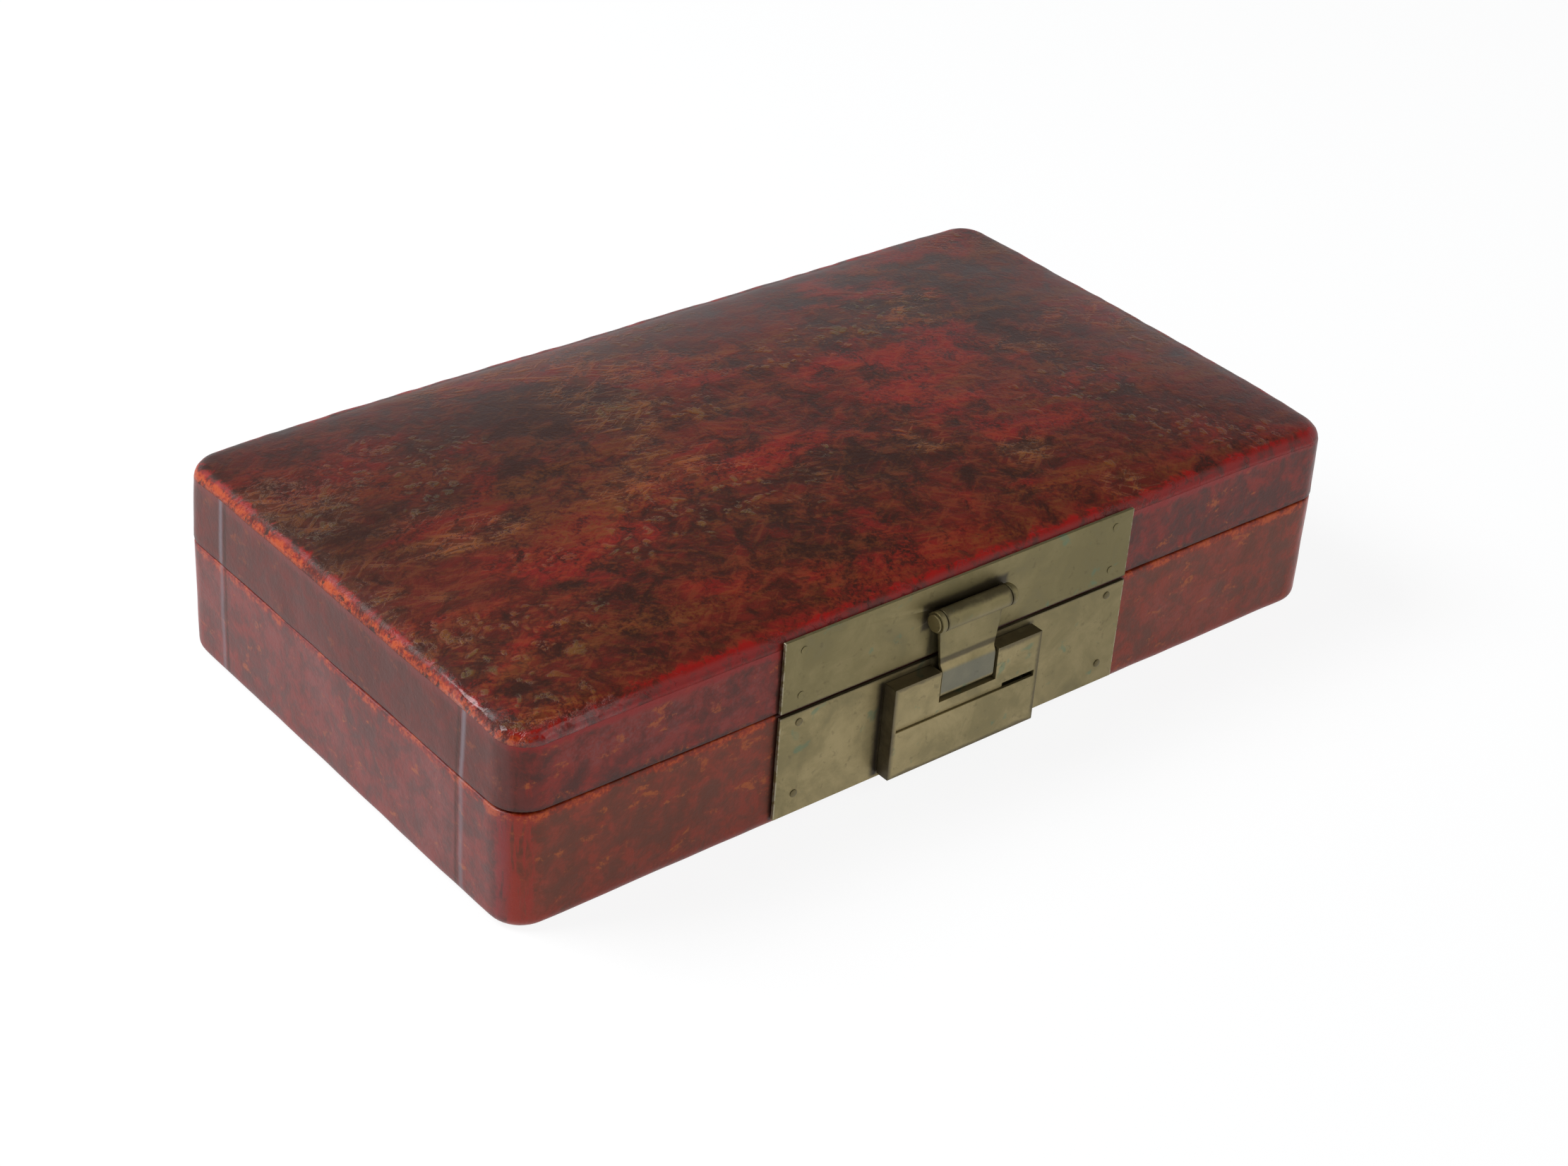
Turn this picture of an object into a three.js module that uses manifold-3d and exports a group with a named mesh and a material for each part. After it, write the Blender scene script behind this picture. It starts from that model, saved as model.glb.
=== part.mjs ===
// A small red lacquered leather box with a domed lid, a brass clasp in front and two brass hinges behind.
// Millimetres, +Z up. The origin is on the underside, in the middle of the box. The front faces -Y.

import * as THREE from "three";
import { mergeVertices } from "three/addons/utils/BufferGeometryUtils.js";
import Module from "manifold-3d";

// Overall sizes of the leather covered box
const LENGTH = 262;
const WIDTH = 146;
const SEAM_HEIGHT = 33;
const LID_SIDE_HEIGHT = 18.3;
const DOME_RISE = 7.2;
const CORNER_RADIUS = 9;
const BOTTOM_EDGE_RADIUS = 3.4;
const RIM_RADIUS = 3.5;
const SEAM_GAP = 0.5;
const SEAM_EDGE_RADIUS = 0.6;

// The handmade lid: how far its end walls lean in, and where its corners hang low.
// Each corner has its two sides, how far it falls, and how close to it along x and y the fall begins.
const END_LEAN = 0.7;
const CORNER_FALLS = [
  [1, -1, 2.2, 8, 3],
  [-1, -1, 1.2, 12, 8],
  [-1, 1, 2.2, 12, 10],
  [1, 1, 0.3, 8, 8],
];

// Sheets and boards
const SKIN = 1.2;
const GLUE_GAP = 0.2;
const JOINT_GAP = 0.2;
const WALL = 8.6;
const FLOOR_BOARD = 6;
const TOP_BOARD_EDGE = 5.3;
const LIP_THICKNESS = 2.4;
const LIP_RISE = 3;
const LIP_CLEARANCE = 0.6;
const LINING = 0.6;
const LINING_MARGIN = 0.4;
const SKIN_WRAP = 21;
const SKIN_BUTT_GAP = 0.3;
const TURN_IN = 8;
const TURN_IN_LIFT = 0.2;

// Clasp plates, depths are measured forwards from the leather
const CLASP_OFFSET = -1;
const PLATE_LENGTH = 111.6;
const PLATE = 0.9;
const PLATE_GAP = 0.1;
const PLATE_MARGIN = 0.35;
const PLATE_OVER_RIM = 2;
const PLATE_FOOT = 3.2;
const NAIL_INSET = 5.8;
const LOWER_NAIL_BELOW_TOP = 2.8;
const LOWER_NAIL_ABOVE_FOOT = 5.8;
const UPPER_NAIL_INSET = 3.6;

// Lock housing on the lower plate
const HOUSING_LENGTH = 47.7;
const HOUSING_DEPTH = 4;
const HOUSING_BELOW_SEAM = 2.3;
const HOUSING_FOOT = 4.4;
const HOUSING_WALL = 0.9;
const HOUSING_GAP = 0.2;
const NOTCH_DEPTH = 8.9;
const NOTCH_CLEARANCE = 0.6;
const SLOT_END = 1.3;
const SLOT_HEIGHT = 1.8;
const SLOT_BELOW_NOTCH = 3.1;

// Sliding bolt inside the housing
const BOLT_PLATE = 1.2;
const BOLT_CLEARANCE = 0.3;
const RIB_CLEARANCE = 0.15;
const RIB_RECESS = 0.6;
const STEM_LENGTH = 2.2;
const ARM_RADIUS = 0.65;
const ARM_CLEARANCE = 0.35;

// Hasp on the upper plate
const HASP_LENGTH = 20.5;
const HASP_TAPER = 1.6;
const HASP_SHEET = 0.9;
const HASP_FRONT = 2.9;
const HASP_BEND = 2.4;
const ROLL_GAP = 0.3;
const ROLL_ABOVE_SEAM = 12.2;
const EYE_WALL = 0.6;
const TIP_CLEARANCE = 0.5;
const HASP_RECESS = 0.4;
const EAR_LENGTH = 1.5;
const HASP_PIN_RADIUS = 1.6;
const PIN_CLEARANCE = 0.3;
const PIN_HEAD_OVERLAP = 0.4;
const PIN_HEAD = 0.6;
const SIDE_CLEARANCE = 0.3;

// Back hinges
const HINGE_FROM_END = 53;
const LEAF_LENGTH = 36;
const LEAF = 0.9;
const BASE_LEAF_HEIGHT = 20;
const LEAF_BELOW_RIM = 0.5;
const OUTER_KNUCKLE = 10;
const BARREL_GAP = 0.4;
const BARREL_RELIEF = 0.8;
const HINGE_PIN_RADIUS = 1;
const LEAF_NAIL_SPACING = 24;
const LEAF_NAIL_INSET = 9;

// Nails
const NAIL_RADIUS = 0.5;
const NAIL_CLEARANCE = 0.3;
const NAIL_HEAD_RADIUS = 1.1;
const NAIL_HEAD = 0.35;
const NAIL_LENGTH = 7;

// Fineness of round shapes
const CORNER_STEPS = 6;
const EDGE_STEPS = 3;
const RIM_STEPS = 4;
const DOME_RINGS = 8;
const LONG_SIDE_STEPS = 8;
const SHORT_SIDE_STEPS = 5;
const ROLL_SIDES = 20;
const HINGE_SIDES = 28;
const NAIL_SIDES = 8;

// Sizes that follow from the ones above
const HALF_LENGTH = LENGTH / 2;
const HALF_WIDTH = WIDTH / 2;
const CORE = SKIN + GLUE_GAP;
const BASE_TOP = SEAM_HEIGHT - SEAM_GAP / 2;
const LID_BOTTOM = SEAM_HEIGHT + SEAM_GAP / 2;
const RIM_HEIGHT = SEAM_HEIGHT + LID_SIDE_HEIGHT;
const CEILING_HEIGHT = RIM_HEIGHT - TOP_BOARD_EDGE;
const BOARD_TOP = TURN_IN_LIFT + CORE + FLOOR_BOARD;
const INNER_X = HALF_LENGTH - CORE - WALL;
const INNER_Y = HALF_WIDTH - CORE - WALL;
const PLATE_FRONT = PLATE_GAP + PLATE;
const HOUSING_BACK = PLATE_FRONT + HOUSING_GAP;
const HOUSING_FRONT = HOUSING_BACK + HOUSING_DEPTH;
const HOUSING_TOP = SEAM_HEIGHT - HOUSING_BELOW_SEAM;
const HASP_TIP_LENGTH = HASP_LENGTH - 2 * HASP_TAPER;
const NOTCH_LENGTH = HASP_TIP_LENGTH + 2 * NOTCH_CLEARANCE;
const NOTCH_FLOOR = HOUSING_TOP - NOTCH_DEPTH;
const SLOT_Z = NOTCH_FLOOR - SLOT_BELOW_NOTCH;
const SLOT_LENGTH = HOUSING_LENGTH - 2 * SLOT_END;
const EAR_INSIDE = (HOUSING_LENGTH - NOTCH_LENGTH) / 2 - 2 * HOUSING_WALL;
const BOLT_TRAVEL = EAR_INSIDE - STEM_LENGTH - 2 * BOLT_CLEARANCE;
const BOLT_HEIGHT = 2 * (SLOT_BELOW_NOTCH - HOUSING_WALL - BOLT_CLEARANCE);
const ROLL_BORE = HASP_PIN_RADIUS + PIN_CLEARANCE;
const ROLL_RADIUS = ROLL_BORE + HASP_SHEET;
const ROLL_Z = SEAM_HEIGHT + ROLL_ABOVE_SEAM;
const ROLL_DEPTH = PLATE_FRONT + ROLL_GAP + ROLL_RADIUS;
const EYE_BORE = ARM_RADIUS + ARM_CLEARANCE;
const EYE_RADIUS = EYE_BORE + EYE_WALL;
const EYE_Z = NOTCH_FLOOR + EYE_RADIUS + TIP_CLEARANCE;
const EYE_DEPTH = HOUSING_FRONT - HASP_RECESS - EYE_RADIUS;
const BARREL_BORE = HINGE_PIN_RADIUS + PIN_CLEARANCE;
const BARREL_RADIUS = BARREL_BORE + LEAF;
const BARREL_DEPTH = BARREL_GAP + BARREL_RADIUS;
const FAR = 400;

const wasm = await Module();
wasm.setup();

const lacquerRed = new THREE.MeshStandardMaterial({ color: 0x6b1712, roughness: 0.38, metalness: 0 });
const lacquerTop = new THREE.MeshStandardMaterial({ color: 0x5c1a10, roughness: 0.35, metalness: 0 });
const coreWood = new THREE.MeshStandardMaterial({ color: 0x9a7148, roughness: 0.7, metalness: 0 });
const innerLacquer = new THREE.MeshStandardMaterial({ color: 0x2a0f0b, roughness: 0.5, metalness: 0 });
const paperLining = new THREE.MeshStandardMaterial({ color: 0xa8502c, roughness: 0.9, metalness: 0 });
const agedBrass = new THREE.MeshStandardMaterial({ color: 0x7d7350, roughness: 0.42, metalness: 0.85 });

const box = new THREE.Group();

// A closed three.js geometry as a solid
function solidOf(geometry) {
  const bare = geometry.clone();
  bare.deleteAttribute("normal");
  bare.deleteAttribute("uv");
  const merged = mergeVertices(bare, 1e-4);
  const corners = merged.index.array;
  const kept = [];
  for (let i = 0; i < corners.length; i += 3) {
    const [a, b, c] = [corners[i], corners[i + 1], corners[i + 2]];
    if (a !== b && b !== c && c !== a) kept.push(a, b, c);
  }
  return new wasm.Manifold(
    new wasm.Mesh({
      numProp: 3,
      vertProperties: merged.attributes.position.array,
      triVerts: new Uint32Array(kept),
    }),
  );
}

// A solid as a named mesh in the box
function place(name, solid, material) {
  const made = solid.getMesh();
  const geometry = new THREE.BufferGeometry();
  geometry.setAttribute("position", new THREE.BufferAttribute(made.vertProperties, 3));
  geometry.setIndex(new THREE.BufferAttribute(made.triVerts, 1));
  geometry.computeVertexNormals();
  const mesh = new THREE.Mesh(geometry, material);
  mesh.name = name;
  box.add(mesh);
}

// A rectangular block between two limits on each axis
function block([x0, x1], [y0, y1], [z0, z1]) {
  const geometry = new THREE.BoxGeometry(x1 - x0, y1 - y0, z1 - z0);
  geometry.translate((x0 + x1) / 2, (y0 + y1) / 2, (z0 + z1) / 2);
  return solidOf(geometry);
}

// A block in front of the box: x from the clasp's middle, depth forwards from the leather
function frontBlock([x0, x1], [d0, d1], z) {
  const x = [x0 + CLASP_OFFSET, x1 + CLASP_OFFSET];
  return block(x, [-HALF_WIDTH - d1, -HALF_WIDTH - d0], z);
}

// A block behind the box: x from a hinge's middle, depth backwards from the leather
function backBlock(hingeX, [x0, x1], [d0, d1], z) {
  return block([hingeX + x0, hingeX + x1], [HALF_WIDTH + d0, HALF_WIDTH + d1], z);
}

// A rod along x, round an axis at the given y and z
function rodX(radius, [x0, x1], y, z, sides = ROLL_SIDES) {
  const geometry = new THREE.CylinderGeometry(radius, radius, x1 - x0, sides);
  geometry.rotateZ(Math.PI / 2);
  geometry.translate((x0 + x1) / 2, y, z);
  return solidOf(geometry);
}

// A rod along y
function rodY(radius, [y0, y1], x, z, sides = NAIL_SIDES) {
  const geometry = new THREE.CylinderGeometry(radius, radius, y1 - y0, sides);
  geometry.translate(0, (y0 + y1) / 2, 0);
  geometry.translate(x, 0, z);
  return solidOf(geometry);
}

// The points of a rounded rectangle, the same number at every inset
function outline(inset, scale = 1) {
  const radius = Math.max(CORNER_RADIUS - inset, 0.5);
  const cornerX = HALF_LENGTH - inset - radius;
  const cornerY = HALF_WIDTH - inset - radius;
  const corners = [[1, 1], [-1, 1], [-1, -1], [1, -1]];
  const arcs = corners.map(([sx, sy], quarter) => {
    const arc = [];
    for (let step = 0; step <= CORNER_STEPS; step++) {
      const angle = (quarter + step / CORNER_STEPS) * (Math.PI / 2);
      arc.push(new THREE.Vector2(sx * cornerX + radius * Math.cos(angle), sy * cornerY + radius * Math.sin(angle)));
    }
    return arc;
  });
  const points = [];
  arcs.forEach((arc, quarter) => {
    points.push(...arc);
    const steps = quarter % 2 === 0 ? LONG_SIDE_STEPS : SHORT_SIDE_STEPS;
    const next = arcs[(quarter + 1) % arcs.length][0];
    for (let step = 1; step < steps; step++) points.push(arc[CORNER_STEPS].clone().lerp(next, step / steps));
  });
  return points.map((point) => point.multiplyScalar(scale));
}

// A solid lofted through rings from the bottom up, each end closed by a point
function loft(rings, bottomPoint, topPoint) {
  const count = rings[0].length;
  const positions = [bottomPoint, ...rings.flat(), topPoint].flatMap((point) => [point.x, point.y, point.z]);
  const top = rings.length * count + 1;
  const index = [];
  for (let i = 0; i < count; i++) {
    const next = (i + 1) % count;
    index.push(0, 1 + next, 1 + i);
    for (let ring = 0; ring < rings.length - 1; ring++) {
      const low = 1 + ring * count;
      const high = low + count;
      index.push(low + i, low + next, high + next, low + i, high + next, high + i);
    }
    const last = 1 + (rings.length - 1) * count;
    index.push(last + i, last + next, top);
  }
  const geometry = new THREE.BufferGeometry();
  geometry.setAttribute("position", new THREE.Float32BufferAttribute(positions, 3));
  geometry.setIndex(index);
  return solidOf(geometry);
}

// Insets and heights round an edge of the given radius, for a body that lies offset inside the leather
function edgeRings(radius, offset, steps, heightAt) {
  if (radius <= offset) return [[offset, heightAt(offset)]];
  const rings = [];
  for (let step = 0; step <= steps; step++) {
    const angle = (step / steps) * (Math.PI / 2);
    const reach = radius - offset;
    rings.push([radius - reach * Math.sin(angle), heightAt(radius - reach * Math.cos(angle))]);
  }
  return rings;
}

function ringAt([inset, height], scale = 1, rise = () => 0) {
  return outline(inset, scale).map((p) => new THREE.Vector3(p.x, p.y, height + rise(p.x, p.y)));
}

// How far the domed top stands above the rim
function domeRise(x, y) {
  const u = Math.min(Math.abs(x) / (HALF_LENGTH - RIM_RADIUS), 1);
  const v = Math.min(Math.abs(y) / (HALF_WIDTH - RIM_RADIUS), 1);
  return DOME_RISE * ((1 - u ** 2.4) * (1 - v ** 2.4)) ** 0.8;
}

// The base as one body, offset inwards from the outside of its leather
function baseBody(offset) {
  const bottom = edgeRings(BOTTOM_EDGE_RADIUS, offset, EDGE_STEPS, (h) => TURN_IN_LIFT + h);
  const top = edgeRings(SEAM_EDGE_RADIUS, offset, 2, (h) => BASE_TOP - h).reverse();
  const last = [top.at(-1)[0], BASE_TOP];
  const rings = [...bottom, ...(top.length > 1 ? top : [last])].map((ring) => ringAt(ring));
  const bottomPoint = new THREE.Vector3(0, 0, TURN_IN_LIFT + offset);
  return loft(rings, bottomPoint, new THREE.Vector3(0, 0, BASE_TOP));
}

// A point of a true lid moved to where the handmade lid has it, nothing at the seam and most at the rim
function settled(point) {
  const share = THREE.MathUtils.clamp((point.z - LID_BOTTOM) / LID_SIDE_HEIGHT, 0, 1);
  const fall = CORNER_FALLS.reduce((sum, [sideX, sideY, depth, powerX, powerY]) => {
    const alongX = Math.max((sideX * point.x) / HALF_LENGTH, 0) ** powerX;
    const alongY = Math.max((sideY * point.y) / HALF_WIDTH, 0) ** powerY;
    return sum + depth * alongX * alongY;
  }, 0);
  return new THREE.Vector3(point.x * (1 - (END_LEAN / HALF_LENGTH) * share), point.y, point.z - fall * share);
}

// The lid as one body, offset inwards from the outside of its leather
function lidBody(offset) {
  const seam = edgeRings(SEAM_EDGE_RADIUS, offset, 2, (h) => LID_BOTTOM + h);
  const first = [[seam[0][0], LID_BOTTOM]];
  const rimTop = RIM_HEIGHT + RIM_RADIUS;
  const rim = edgeRings(RIM_RADIUS, offset, RIM_STEPS, (h) => rimTop - h).reverse();
  const rings = [...(seam.length > 1 ? seam : first), ...rim].map((ring) => ringAt(ring));
  for (let ring = 1; ring < DOME_RINGS; ring++) {
    const scale = Math.cos((ring / DOME_RINGS) * (Math.PI / 2)) ** 0.8;
    rings.push(ringAt([RIM_RADIUS, rimTop - offset], scale, domeRise));
  }
  const topPoint = new THREE.Vector3(0, 0, rimTop - offset + DOME_RISE);
  return loft(rings.map((ring) => ring.map(settled)), new THREE.Vector3(0, 0, LID_BOTTOM), topPoint);
}

// A nail driven backwards or forwards through a plate into the wood, with the hole that it needs
function nailAt(x, z, side) {
  const y = (depth) => side * (HALF_WIDTH + depth);
  const span = (a, b) => [Math.min(y(a), y(b)), Math.max(y(a), y(b))];
  const headSeat = PLATE_FRONT + PLATE_GAP;
  const shank = rodY(NAIL_RADIUS, span(headSeat + NAIL_HEAD / 2, headSeat - NAIL_LENGTH), x, z);
  const head = rodY(NAIL_HEAD_RADIUS, span(headSeat, headSeat + NAIL_HEAD), x, z, ROLL_SIDES / 2);
  const hole = rodY(NAIL_RADIUS + NAIL_CLEARANCE, span(PLATE_FRONT + 1, headSeat - NAIL_LENGTH - JOINT_GAP), x, z);
  return { nail: shank.add(head), hole };
}

function drilled(solid, nails) {
  return nails.reduce((left, { hole }) => left.subtract(hole), solid);
}

const nailX = PLATE_LENGTH / 2 - NAIL_INSET;
const lowerPlateTop = BASE_TOP - PLATE_MARGIN;
const upperPlateBottom = LID_BOTTOM + PLATE_MARGIN;
const lowerPlateSpan = [PLATE_FOOT, lowerPlateTop];
const upperPlateSpan = [upperPlateBottom, RIM_HEIGHT + PLATE_OVER_RIM];
const baseLeafTop = SEAM_HEIGHT - BARREL_RADIUS - BARREL_RELIEF;
const lidLeafBottom = SEAM_HEIGHT + BARREL_RADIUS + BARREL_RELIEF;
const baseLeafFoot = baseLeafTop - BASE_LEAF_HEIGHT;
const lidLeafHead = RIM_HEIGHT - LEAF_BELOW_RIM;
const hingeXs = [HINGE_FROM_END - HALF_LENGTH, HALF_LENGTH - HINGE_FROM_END];
const FRONT = -1;
const BACK = 1;

// Nails in a rectangle in the front, or in a row through a hinge leaf
function plateNails(heights) {
  return heights.flatMap((z) => [-nailX, nailX].map((x) => nailAt(x + CLASP_OFFSET, z, FRONT)));
}
function leafNails(z) {
  return hingeXs.flatMap((hingeX) => [-1, 1].map((s) => nailAt(hingeX + (s * LEAF_NAIL_SPACING) / 2, z, BACK)));
}
const lowerNails = plateNails([lowerPlateTop - LOWER_NAIL_BELOW_TOP, PLATE_FOOT + LOWER_NAIL_ABOVE_FOOT]);
const upperNails = plateNails([upperPlateSpan[1] - UPPER_NAIL_INSET, upperPlateSpan[0] + UPPER_NAIL_INSET]);
const baseLeafNails = leafNails(baseLeafFoot + LEAF_NAIL_INSET);
const lidLeafNails = leafNails(lidLeafHead - LEAF_NAIL_INSET);
const baseNails = [...lowerNails, ...baseLeafNails];
const lidNails = [...upperNails, ...lidLeafNails];

// The wooden carcass of one half: four walls, cut from the body inside the leather
function addWalls(half, body, wall, z, nails) {
  const innerX = HALF_LENGTH - CORE - wall;
  const innerY = HALF_WIDTH - CORE - wall;
  const long = [-FAR, FAR];
  const short = [-innerY + JOINT_GAP, innerY - JOINT_GAP];
  place(half + "_front_board", drilled(body.intersect(block(long, [-FAR, -innerY], z)), nails), coreWood);
  place(half + "_back_board", drilled(body.intersect(block(long, [innerY, FAR], z)), nails), coreWood);
  place(half + "_left_board", body.intersect(block([-FAR, -innerX], short, z)), coreWood);
  place(half + "_right_board", body.intersect(block([innerX, FAR], short, z)), coreWood);
}

// The leather round the sides of one half: the front and back pieces wrap the corners, the end pieces butt to them
function addSideSkins(half, shell, nails) {
  const wrapY = HALF_WIDTH - SKIN_WRAP;
  const all = [-FAR, FAR];
  const between = [-wrapY + SKIN_BUTT_GAP, wrapY - SKIN_BUTT_GAP];
  place(half + "_front_skin", drilled(shell.intersect(block(all, [-FAR, -wrapY], all)), nails), lacquerRed);
  place(half + "_back_skin", drilled(shell.intersect(block(all, [wrapY, FAR], all)), nails), lacquerRed);
  place(half + "_left_skin", shell.intersect(block([-FAR, 0], between, all)), lacquerRed);
  place(half + "_right_skin", shell.intersect(block([0, FAR], between, all)), lacquerRed);
}

function addBaseCarcass() {
  const core = baseBody(CORE);
  const everywhere = [-FAR, FAR];
  const bottomBoard = core.intersect(block(everywhere, everywhere, [-FAR, BOARD_TOP]));
  place("base_bottom_board", drilled(bottomBoard, baseNails), coreWood);
  addWalls("base", core, WALL, [BOARD_TOP + JOINT_GAP, FAR], baseNails);
}

// Thin strips inside the walls that stand above the seam and guide the lid
function addLipStrips() {
  const z = [BOARD_TOP + JOINT_GAP, SEAM_HEIGHT + LIP_RISE];
  const outX = INNER_X - GLUE_GAP;
  const outY = INNER_Y - GLUE_GAP;
  const inX = outX - LIP_THICKNESS;
  const inY = outY - LIP_THICKNESS;
  place("base_front_lip", block([-outX, outX], [-outY, -inY], z), innerLacquer);
  place("base_back_lip", block([-outX, outX], [inY, outY], z), innerLacquer);
  const between = [-inY + JOINT_GAP, inY - JOINT_GAP];
  place("base_left_lip", block([-outX, -inX], between, z), innerLacquer);
  place("base_right_lip", block([inX, outX], between, z), innerLacquer);
  const liningX = inX - LINING_MARGIN;
  const liningY = inY - LINING_MARGIN;
  const liningZ = [BOARD_TOP + GLUE_GAP, BOARD_TOP + GLUE_GAP + LINING];
  place("base_lining", block([-liningX, liningX], [-liningY, liningY], liningZ), paperLining);
}

function addBaseSkins() {
  const windowX = HALF_LENGTH - TURN_IN;
  const windowY = HALF_WIDTH - TURN_IN;
  const window = block([-windowX, windowX], [-windowY, windowY], [-FAR, TURN_IN_LIFT + SKIN + GLUE_GAP / 2]);
  const wall = baseBody(0).subtract(baseBody(SKIN)).subtract(window);
  const inside = block([-windowX, windowX], [-windowY, windowY], [0, FAR]);
  addSideSkins("base", wall.subtract(inside), baseNails);
  const bottomX = windowX - SKIN_BUTT_GAP;
  const bottomY = windowY - SKIN_BUTT_GAP;
  place("base_bottom_skin", block([-bottomX, bottomX], [-bottomY, bottomY], [0, SKIN]), lacquerRed);
}

function addLidCarcass() {
  const core = lidBody(CORE);
  const everywhere = [-FAR, FAR];
  const topBoard = core.intersect(block(everywhere, everywhere, [CEILING_HEIGHT, FAR]));
  place("lid_top_board", drilled(topBoard, lidNails), coreWood);
  const wall = WALL - LIP_CLEARANCE;
  addWalls("lid", core, wall, [-FAR, CEILING_HEIGHT - JOINT_GAP], lidNails);
  const liningX = HALF_LENGTH - CORE - wall - LINING_MARGIN;
  const liningY = HALF_WIDTH - CORE - wall - LINING_MARGIN;
  const liningZ = [CEILING_HEIGHT - GLUE_GAP - LINING, CEILING_HEIGHT - GLUE_GAP];
  place("lid_lining", block([-liningX, liningX], [-liningY, liningY], liningZ), paperLining);
}

function addLidSkins() {
  const shell = lidBody(0).subtract(lidBody(SKIN));
  const everywhere = [-FAR, FAR];
  const top = shell.intersect(block(everywhere, everywhere, [RIM_HEIGHT, FAR]));
  place("lid_top_skin", top, lacquerTop);
  const open = block([-INNER_X, INNER_X], [-INNER_Y, INNER_Y], everywhere);
  const sides = shell.subtract(open).intersect(
    block(everywhere, everywhere, [-FAR, RIM_HEIGHT - SKIN_BUTT_GAP]),
  );
  addSideSkins("lid", sides, lidNails);
}

function addClaspPlates() {
  const half = PLATE_LENGTH / 2;
  const depth = [PLATE_GAP, PLATE_FRONT];
  place("lower_plate", drilled(frontBlock([-half, half], depth, lowerPlateSpan), lowerNails), agedBrass);
  const inner = HASP_LENGTH / 2 + SIDE_CLEARANCE;
  const y = -HALF_WIDTH - ROLL_DEPTH;
  let plate = frontBlock([-half, half], depth, upperPlateSpan);
  for (const [x0, x1] of [[inner, inner + EAR_LENGTH], [-inner - EAR_LENGTH, -inner]]) {
    const web = [ROLL_Z - ROLL_RADIUS / 2, ROLL_Z + ROLL_RADIUS / 2];
    plate = plate.add(rodX(ROLL_RADIUS, [x0 + CLASP_OFFSET, x1 + CLASP_OFFSET], y, ROLL_Z));
    plate = plate.add(frontBlock([x0, x1], [PLATE_FRONT - PLATE / 2, ROLL_DEPTH - ROLL_BORE], web));
  }
  const bore = rodX(ROLL_BORE, [-half + CLASP_OFFSET, half + CLASP_OFFSET], y, ROLL_Z);
  place("upper_plate", drilled(plate.subtract(bore), upperNails), agedBrass);
  const end = inner + EAR_LENGTH + PLATE_GAP;
  const pinSpan = [CLASP_OFFSET - end, CLASP_OFFSET + end];
  const heads = [[pinSpan[0] - PIN_HEAD, pinSpan[0]], [pinSpan[1], pinSpan[1] + PIN_HEAD]];
  const pin = heads.reduce(
    (rod, head) => rod.add(rodX(ROLL_BORE + PIN_HEAD_OVERLAP, head, y, ROLL_Z)),
    rodX(HASP_PIN_RADIUS, [pinSpan[0] - PIN_HEAD / 2, pinSpan[1] + PIN_HEAD / 2], y, ROLL_Z),
  );
  place("hasp_pin", pin, agedBrass);
}

// The lock housing: a brass case with two ears, a notch for the hasp and a slot for the bolt's rib
function addHousing() {
  const half = HOUSING_LENGTH / 2;
  const notch = NOTCH_LENGTH / 2;
  const inner = half - HOUSING_WALL;
  const earInner = notch + HOUSING_WALL;
  const hollowDepth = [HOUSING_BACK - 1, HOUSING_FRONT - HOUSING_WALL];
  const hollowFoot = HOUSING_FOOT + HOUSING_WALL;
  const earTop = HOUSING_TOP - HOUSING_WALL;
  const through = [HOUSING_BACK - 1, HOUSING_FRONT + 1];
  const hollow = frontBlock([-inner, inner], hollowDepth, [hollowFoot, NOTCH_FLOOR - HOUSING_WALL])
    .add(frontBlock([-inner, -earInner], hollowDepth, [hollowFoot, earTop]))
    .add(frontBlock([earInner, inner], hollowDepth, [hollowFoot, earTop]));
  const slotZ = [SLOT_Z - SLOT_HEIGHT / 2, SLOT_Z + SLOT_HEIGHT / 2];
  const armDepth = [EYE_DEPTH - EYE_BORE, EYE_DEPTH + EYE_BORE];
  const armZ = [EYE_Z - EYE_BORE, EYE_Z + EYE_BORE];
  const housing = frontBlock([-half, half], [HOUSING_BACK, HOUSING_FRONT], [HOUSING_FOOT, HOUSING_TOP])
    .subtract(frontBlock([-notch, notch], through, [NOTCH_FLOOR, HOUSING_TOP + 1]))
    .subtract(hollow)
    .subtract(frontBlock([-SLOT_LENGTH / 2, SLOT_LENGTH / 2], through, slotZ))
    .subtract(frontBlock([-earInner - 1, -notch + 1], armDepth, armZ));
  place("lock_housing", housing, agedBrass);
}

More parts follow.
